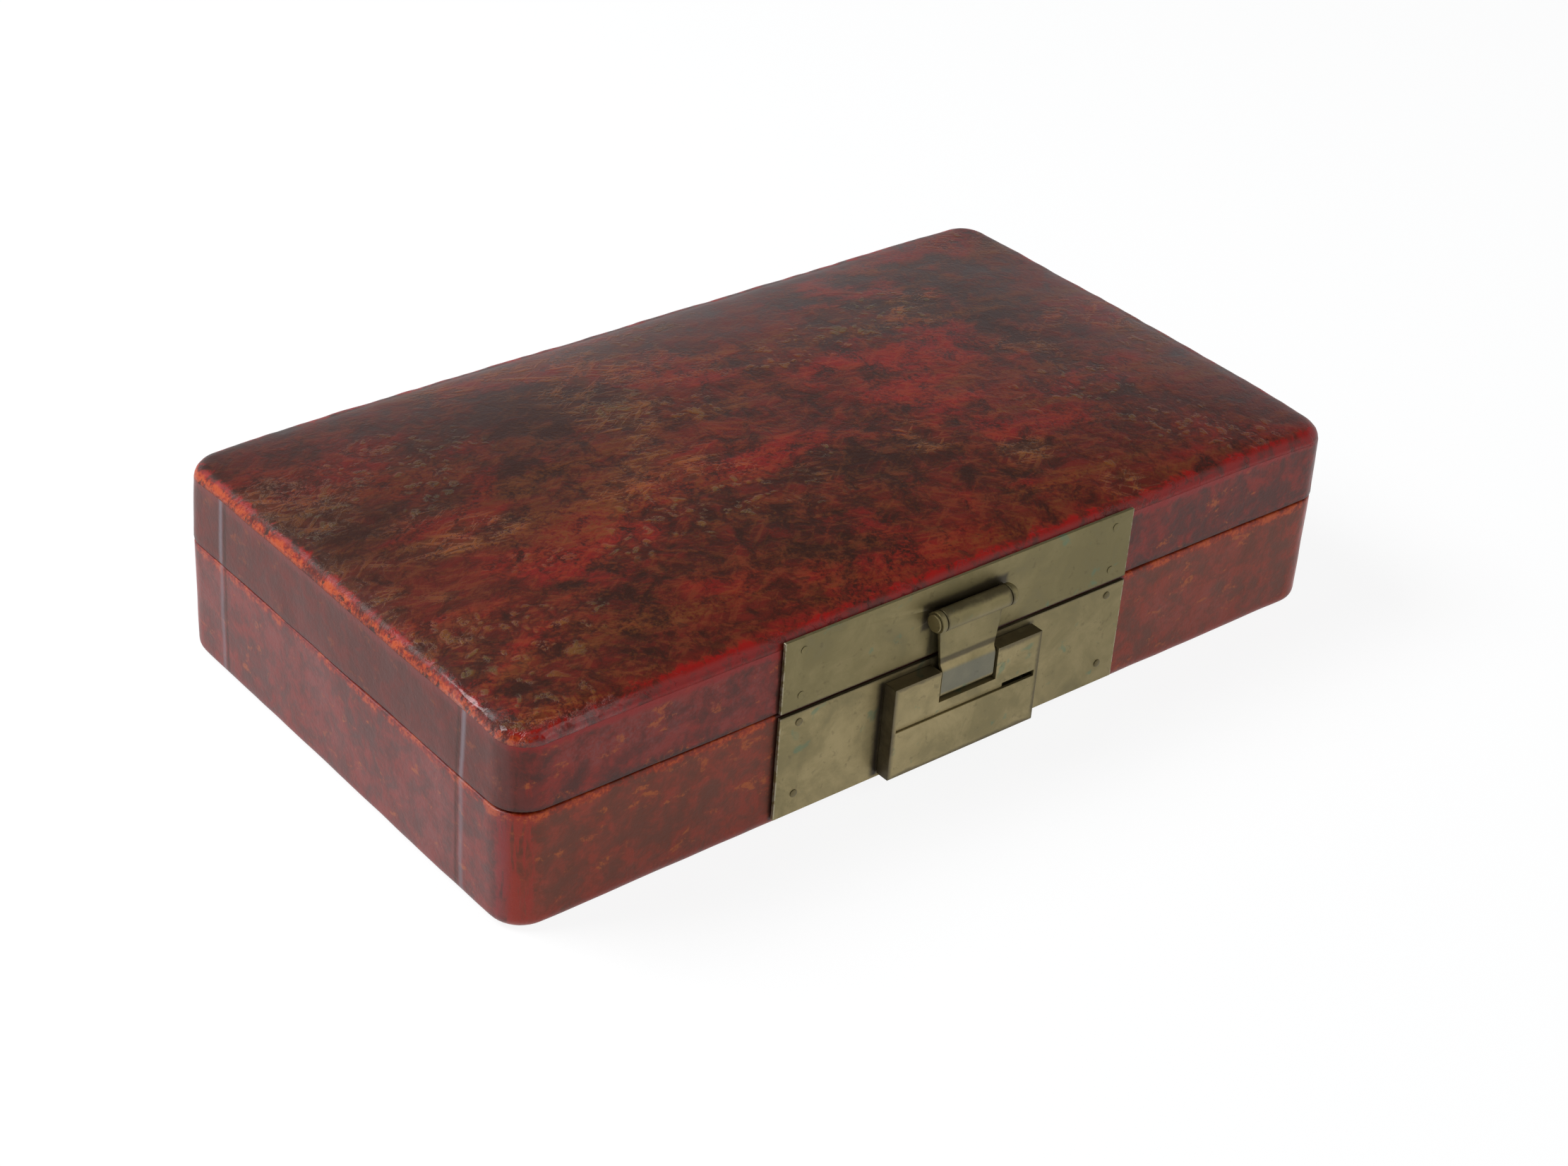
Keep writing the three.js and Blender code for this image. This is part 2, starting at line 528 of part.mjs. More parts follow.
// The bolt: a plate behind the slot with a rib in it, and an arm in the left ear that slides into the hasp's eye
function addBolt() {
  const front = HOUSING_FRONT - HOUSING_WALL - BOLT_CLEARANCE;
  const left = -HOUSING_LENGTH / 2 + HOUSING_WALL + BOLT_CLEARANCE;
  const ribLeft = -SLOT_LENGTH / 2 + RIB_CLEARANCE;
  const ribRight = SLOT_LENGTH / 2 - RIB_CLEARANCE - BOLT_TRAVEL;
  const plateZ = [SLOT_Z - BOLT_HEIGHT / 2, SLOT_Z + BOLT_HEIGHT / 2];
  const ribZ = [SLOT_Z - SLOT_HEIGHT / 2 + RIB_CLEARANCE, SLOT_Z + SLOT_HEIGHT / 2 - RIB_CLEARANCE];
  const stem = [left, left + STEM_LENGTH];
  const armTip = -NOTCH_LENGTH / 2 - HOUSING_WALL / 2;
  const stemDepth = [EYE_DEPTH - BOLT_PLATE / 2, front - BOLT_PLATE / 2];
  const armX = [left + STEM_LENGTH / 2 + CLASP_OFFSET, armTip + CLASP_OFFSET];
  const bolt = frontBlock([left, ribRight + BOLT_CLEARANCE], [front - BOLT_PLATE, front], plateZ)
    .add(frontBlock([ribLeft, ribRight], [front - BOLT_PLATE / 2, HOUSING_FRONT - RIB_RECESS], ribZ))
    .add(frontBlock(stem, stemDepth, [plateZ[0], EYE_Z + ARM_RADIUS]))
    .add(rodX(ARM_RADIUS, armX, -HALF_WIDTH - EYE_DEPTH, EYE_Z, NAIL_SIDES));
  place("sliding_bolt", bolt, agedBrass);
}

// The hasp: a strap rolled round its pin at the top and into a small eye at its tip
function addHasp() {
  const wide = [CLASP_OFFSET - HASP_LENGTH / 2, CLASP_OFFSET + HASP_LENGTH / 2];
  const rollY = -HALF_WIDTH - ROLL_DEPTH;
  const eyeY = -HALF_WIDTH - EYE_DEPTH;
  const front = PLATE_FRONT + HASP_FRONT;
  const tipFront = EYE_DEPTH + EYE_RADIUS;
  const strapTop = ROLL_Z - (ROLL_BORE + ROLL_RADIUS) / 2;
  const bend = [HOUSING_TOP + HASP_BEND / 2, HOUSING_TOP - HASP_BEND / 2];
  const profile = new THREE.Shape();
  profile.moveTo(front, strapTop);
  profile.lineTo(front - HASP_SHEET, strapTop);
  profile.lineTo(front - HASP_SHEET, bend[0]);
  profile.lineTo(tipFront - HASP_SHEET, bend[1]);
  profile.lineTo(tipFront - HASP_SHEET, EYE_Z);
  profile.lineTo(tipFront, EYE_Z);
  profile.lineTo(tipFront, bend[1]);
  profile.lineTo(front, bend[0]);
  profile.closePath();
  const sheet = new THREE.ExtrudeGeometry(profile, { depth: HASP_LENGTH, bevelEnabled: false });
  sheet.translate(0, 0, -HASP_LENGTH / 2);
  const toFront = new THREE.Matrix4().makeBasis(
    new THREE.Vector3(0, -1, 0),
    new THREE.Vector3(0, 0, 1),
    new THREE.Vector3(-1, 0, 0),
  );
  toFront.setPosition(CLASP_OFFSET, -HALF_WIDTH, 0);
  sheet.applyMatrix4(toFront);
  const view = new THREE.Shape();
  const shoulder = ROLL_Z - ROLL_RADIUS;
  view.moveTo(-HASP_LENGTH / 2, ROLL_Z + FAR);
  view.lineTo(-HASP_LENGTH / 2, shoulder);
  view.lineTo(-HASP_TIP_LENGTH / 2, HOUSING_TOP);
  view.lineTo(-HASP_TIP_LENGTH / 2, EYE_Z - FAR);
  view.lineTo(HASP_TIP_LENGTH / 2, EYE_Z - FAR);
  view.lineTo(HASP_TIP_LENGTH / 2, HOUSING_TOP);
  view.lineTo(HASP_LENGTH / 2, shoulder);
  view.lineTo(HASP_LENGTH / 2, ROLL_Z + FAR);
  view.closePath();
  const mask = new THREE.ExtrudeGeometry(view, { depth: FAR, bevelEnabled: false });
  mask.rotateX(Math.PI / 2);
  mask.translate(CLASP_OFFSET, 0, 0);
  const hasp = solidOf(sheet)
    .add(rodX(ROLL_RADIUS, wide, rollY, ROLL_Z))
    .add(rodX(EYE_RADIUS, wide, eyeY, EYE_Z, ROLL_SIDES / 2 + 2))
    .subtract(rodX(ROLL_BORE, [wide[0] - 1, wide[1] + 1], rollY, ROLL_Z))
    .subtract(rodX(EYE_BORE, [wide[0] - 1, wide[1] + 1], eyeY, EYE_Z, ROLL_SIDES / 2 + 2))
    .intersect(solidOf(mask));
  place("hasp", hasp, agedBrass);
}

// One butt hinge: a leaf on each half, their knuckles on one barrel, and the pin
function addHinge(side, hingeX) {
  const half = LEAF_LENGTH / 2;
  const depth = [PLATE_GAP, PLATE_GAP + LEAF];
  const y = HALF_WIDTH + BARREL_DEPTH;
  const middle = half - OUTER_KNUCKLE - SIDE_CLEARANCE;
  const outer = [[-half, -half + OUTER_KNUCKLE], [half - OUTER_KNUCKLE, half]];
  const rod = (radius, [x0, x1]) => rodX(radius, [hingeX + x0, hingeX + x1], y, SEAM_HEIGHT, HINGE_SIDES);
  const bore = rod(BARREL_BORE, [-half - 1, half + 1]);
  const knuckle = (span, z) => rod(BARREL_RADIUS, span).add(backBlock(hingeX, span, depth, z));
  let baseLeaf = backBlock(hingeX, [-half, half], depth, [baseLeafFoot, baseLeafTop]);
  for (const span of outer) baseLeaf = baseLeaf.add(knuckle(span, [baseLeafTop - 1, SEAM_HEIGHT]));
  let lidLeaf = backBlock(hingeX, [-half, half], depth, [lidLeafBottom, lidLeafHead]);
  lidLeaf = lidLeaf.add(knuckle([-middle, middle], [SEAM_HEIGHT, lidLeafBottom + 1]));
  place(side + "_hinge_base_leaf", drilled(baseLeaf.subtract(bore), baseLeafNails), agedBrass);
  place(side + "_hinge_lid_leaf", drilled(lidLeaf.subtract(bore), lidLeafNails), agedBrass);
  place(side + "_hinge_pin", rod(HINGE_PIN_RADIUS, [-half, half]), agedBrass);
}

function addNails(group, nails) {
  nails.forEach(({ nail }, index) => place(group + "_nail_" + (index + 1), nail, agedBrass));
}

addBaseCarcass();
addLipStrips();
addBaseSkins();
addLidCarcass();
addLidSkins();
addClaspPlates();
addHousing();
addBolt();
addHasp();
addHinge("left", hingeXs[0]);
addHinge("right", hingeXs[1]);
addNails("lower_plate", lowerNails);
addNails("upper_plate", upperNails);
addNails("base_leaf", baseLeafNails);
addNails("lid_leaf", lidLeafNails);

export default box;
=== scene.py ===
"""A hinged, lacquered leather box: the visible leather, brass and wood, built around its fixed frame."""

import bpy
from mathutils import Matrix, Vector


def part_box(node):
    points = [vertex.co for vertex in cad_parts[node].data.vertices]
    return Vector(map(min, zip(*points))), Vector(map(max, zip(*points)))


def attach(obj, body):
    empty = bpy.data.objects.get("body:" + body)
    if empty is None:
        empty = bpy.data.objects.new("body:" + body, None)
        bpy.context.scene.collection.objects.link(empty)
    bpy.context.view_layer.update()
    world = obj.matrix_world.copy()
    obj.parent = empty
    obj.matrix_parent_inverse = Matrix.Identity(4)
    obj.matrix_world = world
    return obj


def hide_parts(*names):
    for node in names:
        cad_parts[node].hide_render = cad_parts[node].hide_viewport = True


bl_info = {
    "name": "Lacquered leather box",
    "version": (1, 0, 0),
    "blender": (4, 5, 0),
    "location": "View3D > Sidebar > Leather Box",
    "description": "Dresses the frame of a lacquered leather box and sets it in a pale studio",
    "category": "Object",
}

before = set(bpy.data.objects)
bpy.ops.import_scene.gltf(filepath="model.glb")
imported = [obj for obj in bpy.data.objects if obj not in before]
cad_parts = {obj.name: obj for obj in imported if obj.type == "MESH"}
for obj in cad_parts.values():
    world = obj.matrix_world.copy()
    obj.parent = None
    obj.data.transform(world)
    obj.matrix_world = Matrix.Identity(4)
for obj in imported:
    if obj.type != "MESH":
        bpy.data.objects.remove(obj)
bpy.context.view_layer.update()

import math

import bmesh
import bpy
from bpy.props import FloatProperty, FloatVectorProperty, PointerProperty
from mathutils import Matrix, Vector, noise

MM = 0.001

# Places taken from the frame, in metres
TOP_LOW, TOP_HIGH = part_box("lid_top_skin")
LID_LOW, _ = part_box("lid_front_skin")
BASE_LOW, BASE_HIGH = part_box("base_front_skin")
UPPER_LOW, UPPER_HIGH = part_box("upper_plate")
LOWER_LOW, LOWER_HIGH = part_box("lower_plate")
LOCK_LOW, LOCK_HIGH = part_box("lock_housing")
HASP_LOW, HASP_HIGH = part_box("hasp")
PIN_LOW, PIN_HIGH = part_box("hasp_pin")
HALF_LENGTH = BASE_HIGH.x
HALF_WIDTH = TOP_HIGH.y
RIM_Z = TOP_LOW.z
SEAM_Z = (LID_LOW.z + BASE_HIGH.z) / 2
WRAP_Y = -BASE_HIGH.y
CLASP_X = (LOCK_LOW.x + LOCK_HIGH.x) / 2
PIN_Y = (PIN_LOW.y + PIN_HIGH.y) / 2
PIN_Z = (PIN_LOW.z + PIN_HIGH.z) / 2
ROLL_RADIUS = PIN_Y - HASP_LOW.y
PLATE_Y = LOWER_LOW.y

# How far the leather stands past the boards at the seam, and the open joints between its pieces, in metres
SEAM_PROUD = 0.03 * MM
LEATHER_JOINT = 0.04 * MM

# Points this close together in a frame part's mesh are one point, in metres
SAME_POINT = 0.002 * MM

# How deep the rim of a nail head lies below the front of its nail, in metres
NAIL_SEAT = 0.34 * MM

# How far from the front left corner the lacquer lies in thick drops, in metres
DROPS_REACH = 34 * MM

# The handmade lid's corners: side in x and y, how far it hangs low in metres, and how steeply along x and y
CORNER_FALLS = (
    (1, -1, 2.2 * MM, 8, 3),
    (-1, -1, 1.2 * MM, 12, 8),
    (-1, 1, 2.2 * MM, 12, 10),
    (1, 1, 0.3 * MM, 8, 8),
)


def srgb(red, green, blue):
    """A colour given as it looks on a screen, 0 to 255, as the linear values that Blender holds."""
    shares = [value / 255 for value in (red, green, blue)]
    return tuple(s / 12.92 if s <= 0.04045 else ((s + 0.055) / 1.055) ** 2.4 for s in shares)


def share(value):
    """A value held between 0 and 1."""
    return min(1.0, max(0.0, value))


def length(name, description, millimetres):
    return FloatProperty(
        name=name, description=description, default=millimetres * MM,
        unit="LENGTH", subtype="DISTANCE", precision=5,
    )


def colour(name, description, red, green, blue):
    return FloatVectorProperty(
        name=name, description=description, default=srgb(red, green, blue),
        size=3, subtype="COLOR", min=0, max=1,
    )


def number(name, description, default):
    return FloatProperty(name=name, description=description, default=default)


class BoxSizes(bpy.types.PropertyGroup):
    """Sizes of the leather and the brass that the frame doesn't give."""

    corner_radius: length("Corner radius", "Radius of the four upright corners", 9)
    rim_radius: length("Rim radius", "Rounding between the sides and the top of the lid", 3.5)
    foot_radius: length("Foot radius", "Rounding of the lowest edge of the base", 3.4)
    seam_radius: length("Seam radius", "Rounding of the two edges that meet at the seam", 0.6)
    leather: length("Leather", "Thickness of the leather", 1.2)
    turn_in: length("Turn in", "How far the base's leather folds in underneath", 8)
    crown: length("Crown", "How far the lid's middle stands above its rim", 7.2)
    lean: length("Lean", "How far the lid's ends lean in from the seam to the rim", 0.7)
    cell: length("Cell", "Spacing of the leather's mesh", 1.1)
    unevenness: length("Unevenness", "How far the hand-laid leather waves in and out", 0.4)
    lumps: length("Lumps", "Height of the thick lacquer drops along the rim", 0.9)
    brass_edge: length("Brass edge", "Rounding of the edges of the brass", 0.2)
    strap: length("Strap", "Thickness of the hasp's brass sheet", 0.9)
    strap_tip: length("Strap tip", "Width of the hasp at its tip", 17.3)
    strap_front: length("Strap front", "How far the hasp's front stands out from the leather", 3.9)
    strap_recess: length("Strap recess", "How far the hasp's tip lies behind the front of the lock", 0.4)
    eye_radius: length("Eye radius", "Outer radius of the rolled eye behind the hasp's tip", 1.6)


class BoxColours(bpy.types.PropertyGroup):
    """Colours of the finishes."""

    side_ground: colour("Side ground", "Lacquer of the sides", 132, 42, 32)
    # This colour also paints the darker shade on the lid's end faces.
    side_dark: colour("Side dark", "Aged patches of the sides", 78, 34, 26)
    # This colour also paints the greyish reflection on the end faces.
    side_grey: colour("Side grey", "Dulled patches of the sides", 112, 84, 84)
    side_fleck: colour("Side fleck", "Orange flecks where the lacquer is thin", 176, 92, 40)
    top_ground: colour("Top ground", "Brown red lacquer of the top", 98, 28, 18)
    # This colour also paints the shade round the brass plates on the sides.
    top_dark: colour("Top dark", "Aged, nearly black patches of the top", 50, 24, 16)
    top_red: colour("Top red", "Crimson patches where the top layer has gone", 134, 24, 20)
    umber: colour("Umber", "Brown bands and washes on the top", 96, 52, 22)
    worn_red: colour("Worn red", "Bright lacquer along the rims and corners", 142, 14, 10)
    worn_orange: colour("Worn orange", "Undercoat along the most worn edges", 190, 82, 34)
    ochre: colour("Ochre", "Worn gilt, the darker shade", 122, 76, 28)
    tan: colour("Tan", "Worn gilt, the paler shade", 146, 92, 46)
    olive: colour("Olive", "Greenish remains on the top", 92, 82, 44)
    brass: colour("Brass", "Aged brass", 154, 139, 100)
    brass_bright: colour("Brass bright", "Rubbed edges of the plates", 190, 184, 164)
    # This colour also darkens the upper plates and paints the shade towards the right of the clasp.
    brass_dark: colour("Brass dark", "Stains on the brass", 110, 101, 66)
    # This colour also paints the shade and shadows round the lock, the hasp and the roll on the brass.
    grime_and_shade: colour("Grime", "Dirt in the corners of the brass", 44, 34, 20)
    # A painted highlight: the pale stripe beside the leather joints on the end faces.
    joint_highlight_grey: colour("Seam grey", "Dull stripe where two pieces of leather butt", 124, 112, 118)
    # A painted reflection: the bluish grey on the hasp below its bend.
    tip_reflection_grey: colour("Brass grey", "Bluish grey of the hasp's tip", 96, 100, 94)
    verdigris: colour("Verdigris", "Green spots on the brass", 74, 116, 96)
    wood: colour("Wood", "Bare wood of the boards", 150, 110, 70)
    wood_dark: colour("Wood grain", "Grain of the boards", 98, 64, 38)
    inside: colour("Inside", "Dark lacquer of the strips inside", 46, 18, 14)
    lining: colour("Lining", "Paper of the linings", 136, 68, 46)


class Studio(bpy.types.PropertyGroup):
    """Camera and light."""

    lens: number("Lens", "Focal length in millimetres", 65.78)
    azimuth: number("Azimuth", "Camera angle round the box, in degrees", -41.1)
    elevation: number("Elevation", "Camera angle above the floor, in degrees", 32.17)
    roll: number("Roll", "Tilt of the camera, in degrees", 4.31)
    distance: length("Distance", "From the camera to the box", 758)
    shift_right: length("Shift right", "Camera moved along its own right", 5.0)
    shift_up: length("Shift up", "Camera moved along its own up", 9.14)
    key: number("Key", "Power of the large lamp behind on the left, in watts", 24)
    fill: number("Fill", "Power of the lamp in front on the right, in watts", 5)


class Value:
    """A number or colour that varies over a surface, with arithmetic that adds the nodes it needs."""

    def __init__(self, shader, socket):
        self.shader = shader
        self.socket = socket

    def math(self, operation, first, second=0.0):
        return self.shader.node("Math", {"operation": operation}, {0: first, 1: second})

    def __add__(self, other):
        return self.math("ADD", self, other)

    def __radd__(self, other):
        return self.math("ADD", other, self)

    def __sub__(self, other):
        return self.math("SUBTRACT", self, other)

    def __rsub__(self, other):
        return self.math("SUBTRACT", other, self)

    def __mul__(self, other):
        return self.math("MULTIPLY", self, other)

    def __rmul__(self, other):
        return self.math("MULTIPLY", other, self)

    def __truediv__(self, other):
        return self.math("DIVIDE", self, other)

    def __pow__(self, other):
        return self.math("POWER", self, other)

    def __abs__(self):
        return self.math("ABSOLUTE", self)


class Shader:
    """A material, light or world whose nodes are written as expressions."""

    def __init__(self, owner):
        owner.use_nodes = True
        self.owner = owner
        self.tree = owner.node_tree
        self.tree.nodes.clear()

    def node(self, kind, settings, sockets, output=0):
        """One node: its settings, then its sockets' values or links. Returns one output, if it has any."""
        made = self.tree.nodes.new("ShaderNode" + kind)
        for key, setting in settings.items():
            setattr(made, key, setting)
        for key, given in sockets.items():
            if isinstance(given, Value):
                self.tree.links.new(given.socket, made.inputs[key])
            else:
                made.inputs[key].default_value = given
        return Value(self, made.outputs[output]) if made.outputs else None

    def place(self):
        """The point of the object, in metres."""
        return self.node("TexCoord", {}, {}, "Object")

    def axes(self, vector):
        return [self.node("SeparateXYZ", {}, {"Vector": vector}, axis) for axis in "XYZ"]

    def warped(self, vector, scale, turn=0.0, shift=(0, 0, 0)):
        """The point turned about the upright axis, then scaled along each axis."""
        angles = (0, 0, math.radians(turn))
        turned = self.node("Mapping", {}, {"Vector": vector, "Location": shift, "Rotation": angles})
        return self.node("Mapping", {}, {"Vector": turned, "Scale": scale})

    def noise(self, vector, scale, detail=3.0, roughness=0.5, distortion=0.0):
        sockets = {
            "Vector": vector,
            "Scale": scale,
            "Detail": detail,
            "Roughness": roughness,
            "Distortion": distortion,
        }
        return self.node("TexNoise", {}, sockets, "Fac")

    def step(self, value, low, high):
        """A smooth step from 0 at low to 1 at high."""
        sockets = {"Value": value, "From Min": low, "From Max": high}
        return self.node("MapRange", {"interpolation_type": "SMOOTHSTEP"}, sockets)

    def thread(self, value, level, width):
        """1 along the line where a value passes a level, fading to 0 on both sides."""
        return 1 - self.step(abs(value - level), 0.0, width)

    def smaller(self, first, second):
        return self.node("Math", {"operation": "MINIMUM"}, {0: first, 1: second})

    def larger(self, first, second):
        return self.node("Math", {"operation": "MAXIMUM"}, {0: first, 1: second})

    def mix(self, factor, first, second, blend="MIX"):
        """Two colours mixed by a factor."""
        first, second = [c if isinstance(c, Value) else (*c, 1.0) for c in (first, second)]
        settings = {"data_type": "RGBA", "blend_type": blend, "clamp_factor": True}
        return self.node("Mix", settings, {0: factor, 6: first, 7: second}, 2)

    def bump(self, height, distance, strength=1.0):
        return self.node("Bump", {}, {"Height": height, "Distance": distance, "Strength": strength})

    def principled(self, sockets):
        return self.node("BsdfPrincipled", {}, sockets)

    def finish(self, surface, kind="OutputMaterial"):
        self.node(kind, {}, {"Surface": surface})
        return self.owner


def material(name):
    return Shader(bpy.data.materials.new(name))


def plan_distances(s, x, y, sizes):
    """How far a point lies outside the box's plan, less than 0 inside it, and how far round a corner."""
    across = abs(x) - (HALF_LENGTH - sizes.corner_radius)
    along = abs(y) - (HALF_WIDTH - sizes.corner_radius)
    out_x, out_y = s.larger(across, 0.0), s.larger(along, 0.0)
    outside = (out_x * out_x + out_y * out_y) ** 0.5
    edge = outside + s.smaller(s.larger(across, along), 0.0) - sizes.corner_radius
    return edge, s.smaller(across, along)


def panel_distance(s, x, z, low, high):
    """How far a point in front of the box lies outside an upright rectangle, less than 0 inside it."""
    across = abs(x - (low.x + high.x) / 2) - (high.x - low.x) / 2
    along = abs(z - (low.z + high.z) / 2) - (high.z - low.z) / 2
    return s.larger(across, along)


def front_mask(s, y):
    """1 on the front of the box, 0 behind it."""
    return s.step(0 - y, 60 * MM, 65 * MM)


def side_lacquer(sizes, colours):
    """Old dark red lacquer on leather, worn bright along the seam and the corners."""
    s = material("side_lacquer")
    place = s.place()
    x, y, z = s.axes(place)
    patches = s.noise(place, 30, 4, 0.6)
    mottle = s.noise(place, 160, 6, 0.72, 0.3)
    grain = s.noise(place, 1000, 3, 0.65)
    blots = s.noise(s.warped(place, (1, 1, 1), shift=(0.7, 0.3, 0.1)), 240, 4, 0.6, 0.4)
    flecks = s.noise(s.warped(place, (0.5, 0.5, 1), shift=(0.3, 0.1, 0.2)), 260, 4, 0.6, 0.5)
    speckle = mottle * 0.6 + grain * 0.4
    shade = s.mix(s.step(mottle * 0.7 + patches * 0.3, 0.4, 0.6), colours.side_dark, colours.side_ground)
    shade = s.mix(s.step(blots, 0.52, 0.64) * 0.5, shade, colours.side_dark)
    shade = s.mix(s.step(patches, 0.5, 0.66) * s.step(speckle, 0.44, 0.6) * 0.35, shade, colours.side_grey)
    shade = s.mix(s.step(flecks, 0.58, 0.66) * s.step(speckle, 0.46, 0.56) * 0.65, shade, colours.side_fleck)
    ragged = (mottle - 0.5) * 0.008 + (grain - 0.5) * 0.003
    _, round_corner = plan_distances(s, x, y, sizes)
    streaks = s.noise(s.warped(place, (1, 1, 0.12)), 620, 3, 0.6)
    corner = s.step(round_corner + ragged * 0.5, 0.0014, 0.0034) * s.step(streaks, 0.4, 0.52)
    lid = s.step(z, SEAM_Z - 0.3 * MM, SEAM_Z + 0.3 * MM)
    foot = (1 - s.step(z + ragged, 0.0012, 0.0065)) * s.step(speckle, 0.36, 0.56)
    below_seam = s.step(z + ragged * 0.4, SEAM_Z - 0.0026, SEAM_Z - 0.0012) * (1 - lid)
    above_seam = lid * (1 - s.step(z + ragged * 0.4, SEAM_Z + 0.0006, SEAM_Z + 0.002))
    rim = s.step(z + ragged * 0.5, RIM_Z - 0.0026, RIM_Z - 0.0006)
    shade = s.mix(corner * (1 - lid) * 0.9, shade, colours.worn_red)
    shade = s.mix(corner * lid * 0.75, shade, colours.top_ground)
    shade = s.mix(foot * 0.7, shade, colours.worn_red)
    shade = s.mix(s.larger(below_seam * s.step(speckle, 0.36, 0.56), rim) * 0.8, shade, colours.worn_red)
    shade = s.mix(below_seam * s.step(speckle, 0.47, 0.6) * 0.85, shade, colours.worn_orange)
    shade = s.mix(above_seam * 0.75, shade, colours.top_dark)
    # Painted reflection and shade on the end faces: greyed like the pale reflection the left end shows, and
    # darker on the lid. The base's front and back are made a little lighter.
    butt = s.step(abs(x), HALF_LENGTH - 0.003, HALF_LENGTH - 0.001)
    shade = s.mix(butt * (0.12 + patches * 0.4), shade, colours.side_grey)
    shade = s.mix(butt * lid * 0.55, shade, colours.side_dark)
    shade = s.mix((1 - butt) * (1 - lid) * 0.14, shade, colours.side_fleck)
    # Painted highlight: a pale grey stripe beside each joint on the end faces, standing in for light on the
    # leather's ridge there. Then a dark joint line.
    stripe = s.thread(abs(y) + ragged * 0.1, WRAP_Y + 0.0011, 0.0014)
    shade = s.mix(butt * stripe * (0.5 + lid * 0.2), shade, colours.joint_highlight_grey)
    shade = s.mix(butt * s.thread(abs(y), WRAP_Y - 0.0009, 0.0011) * 0.6, shade, colours.top_dark)
    # Soiling and painted shade: the leather darkened in a narrow band round the brass plates.
    beside_plate = s.smaller(
        panel_distance(s, x, z, UPPER_LOW, UPPER_HIGH), panel_distance(s, x, z, LOWER_LOW, LOWER_HIGH)
    )
    dirt_and_shade = (1 - s.step(beside_plate + ragged * 0.2, 0.0002, 0.0013)) * front_mask(s, y)
    shade = s.mix(dirt_and_shade * 0.9, shade, colours.top_dark)
    height = mottle * 0.5 + grain * 0.25 + blots * 0.3 + patches
    sockets = {
        "Base Color": shade,
        "Roughness": 0.34 + mottle * 0.2 - corner * 0.08,
        "Specular IOR Level": 0.28,
        "Normal": s.bump(height, 0.0004, 0.7),
        "Coat Weight": corner * 0.12 + rim * 0.12,
        "Coat Roughness": 0.12,
    }
    return s.finish(s.principled(sockets))


def bent(s, place, scale, reach):
    """The point moved about by a noise, so that a regular pattern on it turns irregular."""
    wobble = s.node("TexNoise", {}, {"Vector": place, "Scale": scale, "Detail": 2.0}, "Color")
    moved = s.node("VectorMath", {"operation": "SCALE"}, {0: wobble, "Scale": reach})
    return s.node("VectorMath", {"operation": "ADD"}, {0: place, 1: moved})


def hatching(s, place):
    """Short crossing strokes, 1 on a stroke and 0 between them."""
    fields = []
    families = ((40, (70, 640, 60), 0.0), (12, (80, 720, 60), 0.4), (-34, (110, 760, 60), 0.7))
    for turn, scale, shift in families:
        stroke = s.noise(s.warped(place, scale, turn=turn, shift=(shift, shift, 0)), 1.0, 3, 0.55, 0.25)
        fields.append(s.step(stroke, 0.52, 0.62))
    return s.larger(s.larger(fields[0], fields[1]), fields[2] * 0.8)


